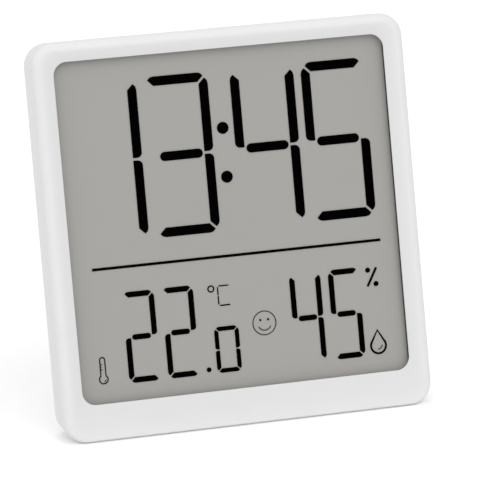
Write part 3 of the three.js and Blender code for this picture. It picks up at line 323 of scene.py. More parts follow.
# Lit segments: the black bars of the time and of the two readings, etched in the clear
# conducting coat inside the glass and seen as thin ink. Bars have mitred outer ends, a soft
# corner where the two uprights meet, and round-ended middle bars.
film_back, film_thick = 4.0, 0.1
layout_shift, layout_drop = 0.55, 0.2
layout_left, layout_top = layout_shift - window_width / 2, window_top - layout_drop
on_film = upright @ Matrix.Translation((0, film_back, 0)) @ Matrix.Rotation(quarter_turn, 4, "X")


def arc(x, y, radius, start, end, steps=6):
    turns = [math.radians(start + (end - start) * i / steps) for i in range(steps + 1)]
    return [(x + radius * math.cos(turn), y + radius * math.sin(turn)) for turn in turns]


def bar_outlines(width, height, stroke):
    tip, joint, soft = 0.6 * stroke, 0.14 * stroke, 0.55 * stroke
    mitre, peak, toe = 0.62 * stroke, 0.64 * stroke, 0.37 * stroke
    shoulder, nick, ease = 0.6 * stroke, 0.26 * stroke, 0.1 * stroke
    inner, outer = -stroke / 2, stroke / 2
    top = (height / 2 - tip - joint) / 2
    upper = [(inner, -top)] + arc(outer - soft, -top + soft, soft, -90, 0)
    upper += [(outer, top - shoulder), (outer - ease, top - nick)]
    upper += [(inner + peak, top), (inner, top - mitre)]
    lower = [(x, -y) for x, y in reversed(upper)]
    reach = width / 2 - stroke / 2
    cap = [(-reach, outer - toe), (mitre - reach, inner), (reach - mitre, inner), (reach, outer - toe)]
    cap += [(reach - nick, outer - ease), (reach - shoulder, outer)]
    cap += [(shoulder - reach, outer), (nick - reach, outer - ease)]
    bar_half, bar_end = 0.49 * stroke, width / 2 - 1.2 * stroke
    middle = arc(bar_end - bar_half, 0, bar_half, -90, 90, 10)
    middle += arc(bar_half - bar_end, 0, bar_half, 90, 270, 10)
    return upper, lower, cap, middle, tip, joint


def ink_shape(name, outline):
    shape = bmesh.new()
    low = [shape.verts.new((x, y, 0)) for x, y in outline]
    high = [shape.verts.new((x, y, film_thick)) for x, y in outline]
    shape.faces.new(list(reversed(low)))
    shape.faces.new(high)
    for i in range(len(outline)):
        after = (i + 1) % len(outline)
        shape.faces.new((low[i], low[after], high[after], high[i]))
    mesh = bpy.data.meshes.new(name)
    shape.to_mesh(mesh)
    shape.free()
    pattern = bpy.data.objects.new(name, mesh)
    bpy.context.scene.collection.objects.link(pattern)
    return pattern


def node_tree(name, sizes):
    tree = bpy.data.node_groups.new(name, "GeometryNodeTree")
    tree.interface.new_socket(name="Geometry", in_out="INPUT", socket_type="NodeSocketGeometry")
    for label, kind in sizes:
        tree.interface.new_socket(name=label, in_out="INPUT", socket_type=kind)
    tree.interface.new_socket(name="Geometry", in_out="OUTPUT", socket_type="NodeSocketGeometry")
    ends = tree.nodes.new("NodeGroupInput"), tree.nodes.new("NodeGroupOutput")
    return tree, tree.nodes, tree.links, *ends


def coat_and_finish(tree, geometry, material, finish):
    real = tree.nodes.new("GeometryNodeRealizeInstances")
    coated = tree.nodes.new("GeometryNodeSetMaterial")
    tree.links.new(geometry, real.inputs["Geometry"])
    tree.links.new(real.outputs["Geometry"], coated.inputs["Geometry"])
    tree.links.new(material, coated.inputs["Material"])
    tree.links.new(coated.outputs["Geometry"], finish.inputs["Geometry"])


def grow(name, mesh, tree, values):
    piece = bpy.data.objects.new(name, mesh)
    bpy.context.scene.collection.objects.link(piece)
    growth = piece.modifiers.new("growth", "NODES")
    growth.node_group = tree
    for item in tree.interface.items_tree:
        if item.in_out == "INPUT" and item.name in values:
            growth[item.identifier] = values[item.name]
    evaluated = piece.evaluated_get(bpy.context.evaluated_depsgraph_get())
    grown = bpy.data.meshes.new_from_object(evaluated)
    piece.modifiers.remove(growth)
    piece.data = grown
    piece.data.name = name
    return piece


ink_black = moulded(
    "ink_black", (0.0012, 0.0012, 0.0012), (0.0006, 0.0006, 0.0006),
    gloss=0.7, matt=0.8, relief=0.02, mottle=60.0, grain=4000.0, specular=0.0,
)
bar_kinds = ("Upper bar", "Lower bar", "Cap bar", "Middle bar")
bar_tree, nodes, links, start, finish = node_tree("lit_bars", [
    *((label, "NodeSocketObject") for label in bar_kinds),
    ("Ink", "NodeSocketMaterial"),
])
kind_read = nodes.new("GeometryNodeInputNamedAttribute")
kind_read.data_type = "INT"
kind_read.inputs["Name"].default_value = "kind"
turn_read = nodes.new("GeometryNodeInputNamedAttribute")
turn_read.data_type = "FLOAT"
turn_read.inputs["Name"].default_value = "turn"
turn_axis = nodes.new("ShaderNodeCombineXYZ")
gather = nodes.new("GeometryNodeJoinGeometry")
links.new(turn_read.outputs["Attribute"], turn_axis.inputs["Z"])
for kind, label in enumerate(bar_kinds):
    pattern = nodes.new("GeometryNodeObjectInfo")
    chosen = nodes.new("FunctionNodeCompare")
    chosen.data_type = "INT"
    chosen.operation = "EQUAL"
    chosen.inputs[3].default_value = kind
    spread = nodes.new("GeometryNodeInstanceOnPoints")
    links.new(start.outputs[label], pattern.inputs["Object"])
    links.new(kind_read.outputs["Attribute"], chosen.inputs[2])
    links.new(start.outputs["Geometry"], spread.inputs["Points"])
    links.new(chosen.outputs["Result"], spread.inputs["Selection"])
    links.new(pattern.outputs["Geometry"], spread.inputs["Instance"])
    links.new(turn_axis.outputs["Vector"], spread.inputs["Rotation"])
    links.new(spread.outputs["Instances"], gather.inputs["Geometry"])
coat_and_finish(bar_tree, gather.outputs["Geometry"], start.outputs["Ink"], finish)

lit_bars = {0: "abcdef", 1: "bc", 2: "abged", 3: "abgcd", 4: "fgbc", 5: "afgcd"}


def show_digits(name, numerals, lefts, nodes, top_drop, width, height, stroke):
    *outlines, tip, joint = bar_outlines(width, height, stroke)
    shapes = [ink_shape(f"{name}_pattern_{i}", outline) for i, outline in enumerate(outlines)]
    side = width / 2 - stroke / 2
    climb = (height / 2 - tip - joint) / 2 + joint
    level = height / 2 - stroke / 2
    seats = {
        "a": (0, level, 2, 0.0),
        "b": (side, climb, 0, 0.0),
        "c": (side, -climb, 1, 0.0),
        "d": (0, -level, 2, math.pi),
        "e": (-side, -climb, 0, math.pi),
        "f": (-side, climb, 1, math.pi),
        "g": (0, 0, 3, 0.0),
    }
    places, kinds, turns = [], [], []
    for numeral, left in zip(numerals, lefts):
        across = layout_left + left + width / 2
        rise = layout_top - top_drop - height / 2
        for letter in lit_bars[numeral]:
            x, z, kind, turn = seats[letter]
            places.append((across + x, rise + z, 0))
            kinds.append(kind)
            turns.append(turn)
    mesh = bpy.data.meshes.new(name)
    mesh.from_pydata(places, [], [])
    mesh.attributes.new("kind", "INT", "POINT").data.foreach_set("value", kinds)
    mesh.attributes.new("turn", "FLOAT", "POINT").data.foreach_set("value", turns)
    digits = grow(name, mesh, bar_tree, {**dict(zip(bar_kinds, shapes)), "Ink": ink_black})
    digits.data.transform(on_film)
    for shape in shapes:
        bpy.data.objects.remove(shape)
    dress(digits, "case", ink_black, "segment_black", *nodes)


time_width = 24.4
time_rights = (30.2, 57.2, 90.0, 117.2)
show_digits(
    "time_digits",
    (1, 3, 4, 5),
    [right - time_width for right in time_rights],
    ["time_digit_1", "time_digit_2", "time_digit_3", "time_digit_4"],
    top_drop=8.0,
    width=time_width,
    height=58.9,
    stroke=3.45,
)
show_digits(
    "reading_digits",
    (2, 2, 4, 5),
    (18.0, 32.8, 81.6, 96.6),
    ["temperature_digit_1", "temperature_digit_2", "humidity_digit_1", "humidity_digit_2"],
    top_drop=85.4,
    width=12.0,
    height=33.4,
    stroke=2.05,
)
show_digits(
    "tenths_digit",
    (0,),
    (51.4,),
    ["temperature_digit_3"],
    top_drop=101.8,
    width=9.4,
    height=17.0,
    stroke=1.6,
)

# Printed dots: the two dots of the colon, the decimal point and the round parts of the small
# signs. Like the bars they are switched areas of the display, shown as thin black on the film.
dot_tree, nodes, links, start, finish = node_tree("ink_dots", [
    ("Film", "NodeSocketFloat"),
    ("Ink", "NodeSocketMaterial"),
])
dot_size = nodes.new("GeometryNodeInputNamedAttribute")
dot_size.inputs["Name"].default_value = "size"
dot_scale = nodes.new("ShaderNodeCombineXYZ")
dot_scale.inputs["Z"].default_value = 1
dot_disc = nodes.new("GeometryNodeMeshCylinder")
dot_disc.inputs["Vertices"].default_value = 40
dot_disc.inputs["Radius"].default_value = 1
dot_spread = nodes.new("GeometryNodeInstanceOnPoints")
links.new(start.outputs["Film"], dot_disc.inputs["Depth"])
links.new(dot_size.outputs["Attribute"], dot_scale.inputs["X"])
links.new(dot_size.outputs["Attribute"], dot_scale.inputs["Y"])
links.new(start.outputs["Geometry"], dot_spread.inputs["Points"])
links.new(dot_disc.outputs["Mesh"], dot_spread.inputs["Instance"])
links.new(dot_scale.outputs["Vector"], dot_spread.inputs["Scale"])
coat_and_finish(dot_tree, dot_spread.outputs["Instances"], start.outputs["Ink"], finish)


def on_window(across, drop):
    return layout_left + across, layout_top - drop, film_thick / 2


def show_dots(name, dots, *nodes):
    mesh = bpy.data.meshes.new(name)
    mesh.from_pydata([on_window(across, drop) for across, drop, size in dots], [], [])
    mesh.attributes.new("size", "FLOAT", "POINT").data.foreach_set("value", [dot[2] for dot in dots])
    piece = grow(name, mesh, dot_tree, {"Film": film_thick, "Ink": ink_black})
    piece.data.transform(on_film)
    dress(piece, "case", ink_black, "segment_black", *nodes)


colon_across, colon_radius = (time_rights[1] + time_rights[2] - time_width) / 2, 2.2
show_dots("colon_dots", [(colon_across, drop, colon_radius) for drop in (29.1, 47.1)], "time_colon")
show_dots("decimal_dot", [(48.25, 117.15, 0.9)], "temperature_point")
per_cent_top, per_cent_foot, per_cent_line = (115.25, 86.5), (111.75, 92.65), 0.86
per_cent_dot = 0.95
comfort_across, comfort_drop, eye_spread, eye_rise, eye_radius = 70.8, 102.2, 1.5, 1.2, 0.42
show_dots("sign_dots", [
    (112.1, 86.9, per_cent_dot),
    (114.9, 92.2, per_cent_dot),
    (*per_cent_top, per_cent_line / 2),
    (*per_cent_foot, per_cent_line / 2),
    (comfort_across - eye_spread, comfort_drop - eye_rise, eye_radius),
    (comfort_across + eye_spread, comfort_drop - eye_rise, eye_radius),
])

# Printed lines: the rule between time and readings, the degree ring and its letter, the per
# cent stroke, the thermometer and drop signs and a plain comfort sign. Each is one thin line
# of black along a path on the film.
line_tree, nodes, links, start, finish = node_tree("ink_lines", [
    ("Film share", "NodeSocketFloat"),
    ("Ink", "NodeSocketMaterial"),
])
line_width = nodes.new("GeometryNodeInputNamedAttribute")
line_width.inputs["Name"].default_value = "line"
line_path = nodes.new("GeometryNodeMeshToCurve")
line_flat = nodes.new("GeometryNodeSetCurveNormal")
line_flat.mode = "Z_UP"
line_section = nodes.new("GeometryNodeCurvePrimitiveQuadrilateral")
line_section.inputs["Width"].default_value = 1
line_sweep = nodes.new("GeometryNodeCurveToMesh")
line_sweep.inputs["Fill Caps"].default_value = True
links.new(start.outputs["Geometry"], line_path.inputs["Mesh"])
links.new(line_path.outputs["Curve"], line_flat.inputs["Curve"])
links.new(start.outputs["Film share"], line_section.inputs["Height"])
links.new(line_flat.outputs["Curve"], line_sweep.inputs["Curve"])
links.new(line_section.outputs["Curve"], line_sweep.inputs["Profile Curve"])
links.new(line_width.outputs["Attribute"], line_sweep.inputs["Scale"])
coat_and_finish(line_tree, line_sweep.outputs["Mesh"], start.outputs["Ink"], finish)


def show_lines(name, paths, *nodes):
    points, edges, widths = [], [], []
    for path, width, closed in paths:
        first = len(points)
        points += [on_window(across, drop) for across, drop in path]
        widths += [width] * len(path)
        edges += [(first + i, first + i + 1) for i in range(len(path) - 1)]
        if closed:
            edges.append((len(points) - 1, first))
    mesh = bpy.data.meshes.new(name)
    mesh.from_pydata(points, edges, [])
    mesh.attributes.new("line", "FLOAT", "POINT").data.foreach_set("value", widths)
    piece = grow(name, mesh, line_tree, {"Film share": 0.1, "Ink": ink_black})
    piece.data.transform(on_film)
    dress(piece, "case", ink_black, "segment_black", *nodes)


def circle(across, drop, radius, steps=48):
    return arc(across, drop, radius, 0, 360 - 360 / steps, steps - 1)


divider_drop, divider_left, divider_right = 76.1, 7.8, 118.0
divider_path = [(divider_left, divider_drop), (divider_right, divider_drop)]
show_lines("divider_rule", [(divider_path, 1.0, False)], "divider_line")
degree_ring = circle(51.6, 87.6, 1.1)
letter_upright, letter_arm, letter_line = 54.15, 54.6, 0.45
letter_lines = [
    ([(letter_arm, 86.8), (58.3, 86.8)], letter_line, False),
    ([(letter_upright, 87.1), (letter_upright, 90.15)], letter_line, False),
    ([(letter_upright, 90.5), (letter_upright, 93.6)], letter_line, False),
    ([(letter_arm, 94.0), (58.4, 94.0)], 0.5, False),
]
bulb_across, bulb_drop, bulb_radius = 8.5, 116.3, 1.6
tube_half, tube_top = 0.95, 109.2
neck_angle = math.degrees(math.asin(tube_half / bulb_radius))
thermometer = arc(bulb_across, tube_top, tube_half, 180, 360, 12)
thermometer += arc(bulb_across, bulb_drop, bulb_radius, neck_angle - 90, 270 - neck_angle, 30)
thermometer_lines = [
    (thermometer, 0.42, True),
    (arc(bulb_across, bulb_drop, 0.85, 0, 80, 8), 0.24, False),
]
for mark_drop, mark_end, mark_line in ((110.9, 8.4, 0.28), (111.8, 8.1, 0.24), (112.7, 8.4, 0.28)):
    mark = [(bulb_across - tube_half, mark_drop), (mark_end, mark_drop)]
    thermometer_lines.append((mark, mark_line, False))
drop_across, drop_centre, drop_radius, drop_top = 113.85, 115.3, 2.9, 109.5
drop_fullness = 0.9
drop_lean = math.degrees(math.asin(drop_radius / (drop_centre - drop_top + drop_fullness)))
drop_outline = [(drop_across, drop_top)]
drop_outline += arc(drop_across, drop_centre, drop_radius, -drop_lean, 180 + drop_lean, 40)
drop_gleam = arc(113.3, 114.6, 2.15, 15, 80, 10)
comfort_ring = circle(comfort_across, comfort_drop, 4.4, 64)
comfort_mouth = arc(comfort_across, comfort_drop + 0.2, 2.5, 25, 155, 20)
show_lines("sign_lines", [
    (degree_ring, 0.5, True),
    ([per_cent_top, per_cent_foot], per_cent_line, False),
    *letter_lines,
    *thermometer_lines,
    (drop_outline, 0.75, True),
    (drop_gleam, 0.32, False),
    (comfort_ring, 0.3, True),
    (comfort_mouth, 0.32, False),
])

# Display holder: a ribbed plate of plain grey plastic that presses the stack of glass and film
# against the bezel, held by four small screws along the bezel's side walls.
inner_plastic = moulded(
    "inner_plastic", (0.62, 0.62, 0.61), (0.56, 0.56, 0.55), gloss=0.45, matt=0.55, relief=0.12
)
finish_node(inner_plastic, "lcd_holder")

# Screws: cross-recessed pan heads, zinc-plated steel, driven from the back. Four hold the
# display holder, four the circuit board, and two longer ones close the case at its chin.
screw_tree, nodes, links, start, finish = node_tree("pan_screws", [
    ("Screw", "NodeSocketObject"),
    ("Seed", "NodeSocketInt"),
    ("Steel", "NodeSocketMaterial"),
])
screw_read = nodes.new("GeometryNodeObjectInfo")
slot_turn = nodes.new("FunctionNodeRandomValue")
slot_turn.data_type = "FLOAT"
slot_turn.inputs["Max"].default_value = quarter_turn
slot_axis = nodes.new("ShaderNodeCombineXYZ")
screw_spread = nodes.new("GeometryNodeInstanceOnPoints")
links.new(start.outputs["Screw"], screw_read.inputs["Object"])
links.new(start.outputs["Seed"], slot_turn.inputs["Seed"])
links.new(slot_turn.outputs["Value"], slot_axis.inputs["Z"])
links.new(start.outputs["Geometry"], screw_spread.inputs["Points"])
links.new(screw_read.outputs["Geometry"], screw_spread.inputs["Instance"])
links.new(slot_axis.outputs["Vector"], screw_spread.inputs["Rotation"])
coat_and_finish(screw_tree, screw_spread.outputs["Instances"], start.outputs["Steel"], finish)


def turned_ring(along, radius, sides):
    angles = [2 * math.pi * i / sides for i in range(sides)]
    return [(radius * math.cos(angle), radius * math.sin(angle), along) for angle in angles]


def turned(profile, sides):
    return skin([turned_ring(along, radius, sides) for along, radius in profile], closed=False)


def screw_shape(name, head, head_height, shank, shank_length):
    wall_top, slope_top = 0.6 * head_height, 0.85 * head_height
    slope_radius, crown_radius = 0.88 * head, 0.6 * head
    shape = turned([
        (-shank_length, shank),
        (0, shank),
        (0, head),
        (wall_top, head),
        (slope_top, slope_radius),
        (head_height, crown_radius),
    ], sides=32)
    shape.faces.ensure_lookup_table()
    crown = shape.faces[-1]
    borders = list(crown.edges)
    bmesh.ops.delete(shape, geom=[crown], context="FACES_ONLY")
    arm, slot, recess_floor = 0.57 * head, 0.15 * head, 0.4 * head_height
    cross = []
    for quarter in range(4):
        turn = Matrix.Rotation(quarter * quarter_turn, 2)
        cross += [turn @ Vector(corner) for corner in ((arm, -slot), (arm, slot), (slot, slot))]
    mouth = [shape.verts.new((x, y, head_height)) for x, y in cross]
    floor = [shape.verts.new((x, y, recess_floor)) for x, y in cross]
    for i in range(len(cross)):
        shape.faces.new((mouth[i - 1], mouth[i], floor[i], floor[i - 1]))
        borders.append(shape.edges.get((mouth[i - 1], mouth[i])))
    for i in range(0, len(cross), 3):
        shape.faces.new((floor[i - 1], floor[i], floor[i + 1], floor[i + 2]))
    shape.faces.new(floor[2::3])
    bmesh.ops.triangle_fill(shape, use_beauty=True, edges=borders)
    bmesh.ops.recalc_face_normals(shape, faces=shape.faces)
    return settle(name, shape, Matrix.Identity(4))


screw_steel = moulded(
    "screw_steel", (0.6, 0.61, 0.62), (0.48, 0.48, 0.49),
    gloss=0.22, matt=0.4, relief=0.1, mottle=500.0, grain=4000.0, metallic=1,
)
from_behind = Matrix.Rotation(math.pi, 4, "Z") @ Matrix.Rotation(quarter_turn, 4, "X")


def drive_screws(name, nodes, head_height, shank_radius, seed):
    (left, right), (tip, back) = node_box(nodes[0])[:2]
    depth = back - head_height
    pattern = screw_shape(
        f"{name}_pattern", (right - left) / 2, head_height, shank_radius, depth - tip
    )
    seats = [node_middle(node) for node in nodes]
    mesh = bpy.data.meshes.new(name)
    mesh.from_pydata([(-x, z, 0) for x, y, z in seats], [], [])
    screws = grow(name, mesh, screw_tree, {"Screw": pattern, "Seed": seed, "Steel": screw_steel})
    bpy.data.objects.remove(pattern)
    screws.data.transform(upright @ Matrix.Translation((0, depth, 0)) @ from_behind)
    screws.data.shade_smooth()
    screws.data.set_sharp_from_angle(angle=math.radians(28))
    dress(screws, "case", screw_steel, "screw_steel", *nodes)


holder_nodes = [f"holder_screw_{i}" for i in range(1, 5)]
board_nodes = [f"board_screw_{i}" for i in range(1, 5)]
case_nodes = ["case_screw_1", "case_screw_2"]
drive_screws("holder_screws", holder_nodes, head_height=1.1, shank_radius=0.6, seed=3)
drive_screws("board_screws", board_nodes, head_height=1.1, shank_radius=0.6, seed=5)
drive_screws("case_screws", case_nodes, head_height=1.5, shank_radius=1.0, seed=8)

# Circuit board: green solder mask over copper tracks on glass-fibre laminate, screwed to posts
# of the holder, with the resin-covered controller, the clock crystal, the temperature bead, the
# humidity sensor, two capacitors and three small push switches on its back.
board_green, nodes, links, surface = shader("board_green")
tracks_per_metre = 220
board_place = nodes.new("ShaderNodeTexCoord")
board_turn = nodes.new("ShaderNodeMapping")
board_turn.inputs["Scale"].default_value = [tracks_per_metre] * 3
board_turn.inputs["Rotation"].default_value = (quarter_turn, 0, 0)
tracks = nodes.new("ShaderNodeTexBrick")
tracks.inputs["Color1"].default_value = (0.012, 0.1, 0.036, 1)
tracks.inputs["Color2"].default_value = (0.015, 0.125, 0.045, 1)
tracks.inputs["Mortar"].default_value = (0.05, 0.24, 0.09, 1)
tracks.inputs["Mortar Size"].default_value = 0.06
tracks.inputs["Scale"].default_value = 1
mask_skin = nodes.new("ShaderNodeGroup")
mask_skin.node_tree = moulded_group
mask_sheen = nodes.new("ShaderNodeMapRange")
mask_sheen.inputs["To Min"].default_value = 0.3
mask_sheen.inputs["To Max"].default_value = 0.45
links.new(board_place.outputs["Object"], board_turn.inputs["Vector"])
links.new(board_turn.outputs["Vector"], tracks.inputs["Vector"])
links.new(tracks.outputs["Color"], surface.inputs["Base Color"])
links.new(mask_skin.outputs["Mottle"], mask_sheen.inputs["Value"])
links.new(mask_sheen.outputs["Result"], surface.inputs["Roughness"])
finish_node(board_green, "main_board")

resin_black = moulded(
    "resin_black", (0.022, 0.022, 0.023), (0.012, 0.012, 0.012),
    gloss=0.25, matt=0.4, relief=0.15, mottle=200.0, grain=900.0,
)
finish_node(resin_black, "controller_blob", "thermistor")
switch_black = moulded(
    "switch_black", (0.035, 0.035, 0.036), (0.025, 0.025, 0.026), gloss=0.4, matt=0.5, relief=0.1
)
finish_node(switch_black, "switch_body_1", "switch_body_2", "switch_body_3")
capacitor_sleeve = moulded(
    "capacitor_sleeve", (0.03, 0.032, 0.045), (0.02, 0.021, 0.03), gloss=0.3, matt=0.42, relief=0.05
)
finish_node(capacitor_sleeve, "filter_capacitor_1", "filter_capacitor_2")
sensor_ceramic = moulded(
    "sensor_ceramic", (0.78, 0.76, 0.7), (0.7, 0.68, 0.62),
    gloss=0.5, matt=0.62, relief=0.25, mottle=700.0, grain=3000.0,
)
finish_node(sensor_ceramic, "humidity_sensor")
contact_nickel = moulded(
    "contact_nickel", (0.66, 0.64, 0.59), (0.55, 0.53, 0.48),
    gloss=0.2, matt=0.34, relief=0.08, mottle=400.0, grain=3500.0, metallic=1,
)
finish_node(contact_nickel, "quartz_crystal", "negative_plate", "positive_plate")

# Push buttons: three turned-looking moulded caps of pale grey plastic with a flange that keeps
# them behind the cover, a stem on each switch and a small raised sign on the dished head.
key_grey = moulded(
    "key_grey", (0.66, 0.66, 0.65), (0.61, 0.61, 0.6), gloss=0.4, matt=0.5, relief=0.1
)
finish_node(key_grey, "switch_plunger_1", "switch_plunger_2", "switch_plunger_3")
key_front, head_back = node_box("button_set")[1]
stem_radius, cap_radius, flange_radius = 1.7, 3.6, 4.5
flange_front, flange_back = 20.2, 21.2
rim_round, rim_steps, dish_depth = 0.5, 6, 0.14
cap_profile = [
    (key_front, stem_radius),
    (flange_front, stem_radius),
    (flange_front, flange_radius),
    (flange_back, flange_radius),
    (flange_back, cap_radius),
]
for step in range(rim_steps + 1):
    turn = step / rim_steps * quarter_turn
    cap_profile.append((
        head_back - rim_round + rim_round * math.sin(turn),
        cap_radius - rim_round + rim_round * math.cos(turn),
    ))
for share in (0.8, 0.6, 0.4, 0.2, 0.05):
    cap_profile.append((head_back - dish_depth * (1 - share * share), (cap_radius - rim_round) * share))
sign_low, sign_high = head_back - 0.3, head_back + 0.02
sign_long, sign_wide = 2.4, 0.42
sign_ring_outer, sign_ring_inner = 1.1, 0.75


def raise_bar(cap, long, wide):
    size = Matrix.Diagonal((long, wide, sign_high - sign_low, 1))
    middle = Matrix.Translation((0, 0, (sign_low + sign_high) / 2))
    bmesh.ops.create_cube(cap, size=1, matrix=middle @ size)


def raise_ring(cap):
    ring = skin([
        turned_ring(sign_low, sign_ring_outer, sides=32),
        turned_ring(sign_high, sign_ring_outer, sides=32),
        turned_ring(sign_high, sign_ring_inner, sides=32),
        turned_ring(sign_low, sign_ring_inner, sides=32),
    ], closed=True)
    mesh = bpy.data.meshes.new("raised_ring")
    ring.to_mesh(mesh)
    ring.free()
    cap.from_mesh(mesh)


for key in ("set", "up", "down"):
    cap = turned(cap_profile, sides=48)
    if key == "set":
        raise_ring(cap)
    else:
        raise_bar(cap, sign_long, sign_wide)
    if key == "up":
        raise_bar(cap, sign_wide, sign_long)
    across, rise = node_middle(f"button_{key}")[::2]
    piece = settle(f"{key}_cap", cap, upright @ Matrix.Translation((across, 0, rise)) @ from_behind)
    dress(piece, f"{key}_key", key_grey, "button_plastic", f"button_{key}")

# Rear cover: one deep white moulding with tapered walls, clipped into the bezel at the top and
# sides and screwed at the chin. The battery bay, the leg's recess, the button dish, the hanging
# hole and the air slots are all moulded in it.


def merged_copy(node):
    shape = bmesh.new()
    shape.from_mesh(frame["nodes"][node].data)
    bmesh.ops.remove_doubles(shape, verts=shape.verts, dist=0.002 * metres_per_mm)
    return shape


case_white = moulded("case_white", *white_tones, **white_finish)
back_shell = settle("back_shell", merged_copy("rear_cover"), Matrix.Identity(4))
flat_walls = back_shell.modifiers.new("flat walls", "WEIGHTED_NORMAL")
flat_walls.mode = "FACE_AREA"
flat_walls.weight = 100
flat_walls.keep_sharp = True
dress(back_shell, "case", case_white, "case_plastic", "rear_cover")

# Battery contacts: a tapered coil of nickel-plated spring wire at the negative end, a flat plate
# at each end of the bay and two insulated leads up to the board.
spring_tree, nodes, links, start, finish = node_tree("contact_coil", [
    ("Turns", "NodeSocketFloat"),
    ("Wide radius", "NodeSocketFloat"),
    ("Narrow radius", "NodeSocketFloat"),
    ("Length", "NodeSocketFloat"),
    ("Wire radius", "NodeSocketFloat"),
    ("Wire", "NodeSocketMaterial"),
])
coil = nodes.new("GeometryNodeCurveSpiral")
coil.inputs["Resolution"].default_value = 40
wire = nodes.new("GeometryNodeCurvePrimitiveCircle")
wire.inputs["Resolution"].default_value = 14
wound = nodes.new("GeometryNodeCurveToMesh")
wound.inputs["Fill Caps"].default_value = True
links.new(start.outputs["Turns"], coil.inputs["Rotations"])
links.new(start.outputs["Wide radius"], coil.inputs["Start Radius"])
links.new(start.outputs["Narrow radius"], coil.inputs["End Radius"])
links.new(start.outputs["Length"], coil.inputs["Height"])
links.new(start.outputs["Wire radius"], wire.inputs["Radius"])
links.new(coil.outputs["Curve"], wound.inputs["Curve"])
links.new(wire.outputs["Curve"], wound.inputs["Profile Curve"])
coat_and_finish(spring_tree, wound.outputs["Mesh"], start.outputs["Wire"], finish)

cell_across, cell_depth, bay_rise = node_middle("battery_cell")
spring_seat = -26.8
along_bay = Matrix.Rotation(quarter_turn, 4, "Y")
spring = grow("contact_spring", bpy.data.meshes.new("contact_spring"), spring_tree, {
    "Turns": 3.0,
    "Wide radius": 3.6,
    "Narrow radius": 2.6,
    "Length": 3.9,
    "Wire radius": 0.35,
    "Wire": contact_nickel,
})
spring.data.transform(upright @ Matrix.Translation((spring_seat, cell_depth, bay_rise)) @ along_bay)
spring.data.shade_smooth()
dress(spring, "case", contact_nickel, "contact_nickel", "battery_spring")
lead_black = moulded(
    "lead_black", (0.025, 0.025, 0.026), (0.018, 0.018, 0.019), gloss=0.45, matt=0.55, relief=0.08
)
finish_node(lead_black, "negative_lead")
lead_red = moulded(
    "lead_red", (0.42, 0.02, 0.015), (0.36, 0.015, 0.012), gloss=0.45, matt=0.55, relief=0.08
)
finish_node(lead_red, "positive_lead")

# Battery cell: a plain round cell in a shrunk grey plastic sleeve with a pale band near one
# end, rolled over at both ends, with a steel cap as the positive end.
cell_half, cell_radius, nub_radius = 22.25, 5.25, 1.9
foot, shoulder = -cell_half, cell_half - 1.0
cell = settle("cell_body", turned([
    (foot, 3.0),
    (foot + 0.12, 3.2),
    (foot + 0.12, 4.5),
    (foot, 4.6),
    (foot, 4.9),
    (foot + 0.1, 5.12),
    (foot + 0.4, cell_radius),
    (shoulder - 0.5, cell_radius),
    (shoulder - 0.15, 5.1),
    (shoulder, 4.8),
    (shoulder, 4.4),
    (shoulder - 0.2, 4.2),
    (shoulder - 0.2, 2.1),
    (shoulder, nub_radius),
    (cell_half - 0.2, nub_radius),
    (cell_half, 1.6),
], sides=48), upright @ Matrix.Translation((cell_across, cell_depth, bay_rise)) @ along_bay)
cell_sleeve, nodes, links, surface = shader("cell_sleeve")
sleeve_grey, band_pale, cap_steel = (0.13, 0.14, 0.15, 1), (0.55, 0.55, 0.54, 1), (0.62, 0.62, 0.6, 1)
band_start, band_end, cap_start = 0.74, 0.88, 0.975
sleeve_place = nodes.new("ShaderNodeTexCoord")
sleeve_axis = nodes.new("ShaderNodeSeparateXYZ")
sleeve_span = nodes.new("ShaderNodeMapRange")
sleeve_span.inputs["From Min"].default_value = -cell_half * metres_per_mm
sleeve_span.inputs["From Max"].default_value = cell_half * metres_per_mm
bands = nodes.new("ShaderNodeValToRGB")
bands.color_ramp.interpolation = "CONSTANT"
bands.color_ramp.elements[0].color = sleeve_grey
bands.color_ramp.elements[1].position = cap_start
bands.color_ramp.elements[1].color = cap_steel
bands.color_ramp.elements.new(band_start).color = band_pale
bands.color_ramp.elements.new(band_end).color = sleeve_grey
gleam = nodes.new("ShaderNodeValToRGB")
gleam.color_ramp.interpolation = "CONSTANT"
gleam.color_ramp.elements[0].color = (0, 0, 0, 1)
gleam.color_ramp.elements[1].position = cap_start
gleam.color_ramp.elements[1].color = (0.9, 0.9, 0.9, 1)
sleeve_skin = nodes.new("ShaderNodeGroup")
sleeve_skin.node_tree = moulded_group
sleeve_sheen = nodes.new("ShaderNodeMapRange")
sleeve_sheen.inputs["To Min"].default_value = 0.24
sleeve_sheen.inputs["To Max"].default_value = 0.36
links.new(sleeve_place.outputs["Object"], sleeve_axis.inputs["Vector"])
links.new(sleeve_axis.outputs["X"], sleeve_span.inputs["Value"])
links.new(sleeve_span.outputs["Result"], bands.inputs["Fac"])
links.new(sleeve_span.outputs["Result"], gleam.inputs["Fac"])
links.new(bands.outputs["Color"], surface.inputs["Base Color"])
links.new(gleam.outputs["Color"], surface.inputs["Metallic"])
links.new(sleeve_skin.outputs["Mottle"], sleeve_sheen.inputs["Value"])
links.new(sleeve_sheen.outputs["Result"], surface.inputs["Roughness"])
dress(cell, "case", cell_sleeve, "cell_sleeve", "battery_cell")

# Battery door: a flat white panel that turns on two hooks under the cover and lies flush with
# it, with a row of raised grip ribs for the thumb along its upper edge.


def eased_copy(name, node, edge):
    piece = settle(name, merged_copy(node), Matrix.Identity(4))
    ease = piece.modifiers.new("eased edges", "BEVEL")
    ease.width = edge * metres_per_mm
    ease.segments = 2
    ease.limit_method = "ANGLE"
    ease.angle_limit = math.radians(40)
    ease.use_clamp_overlap = False
    ease.harden_normals = True
    return piece


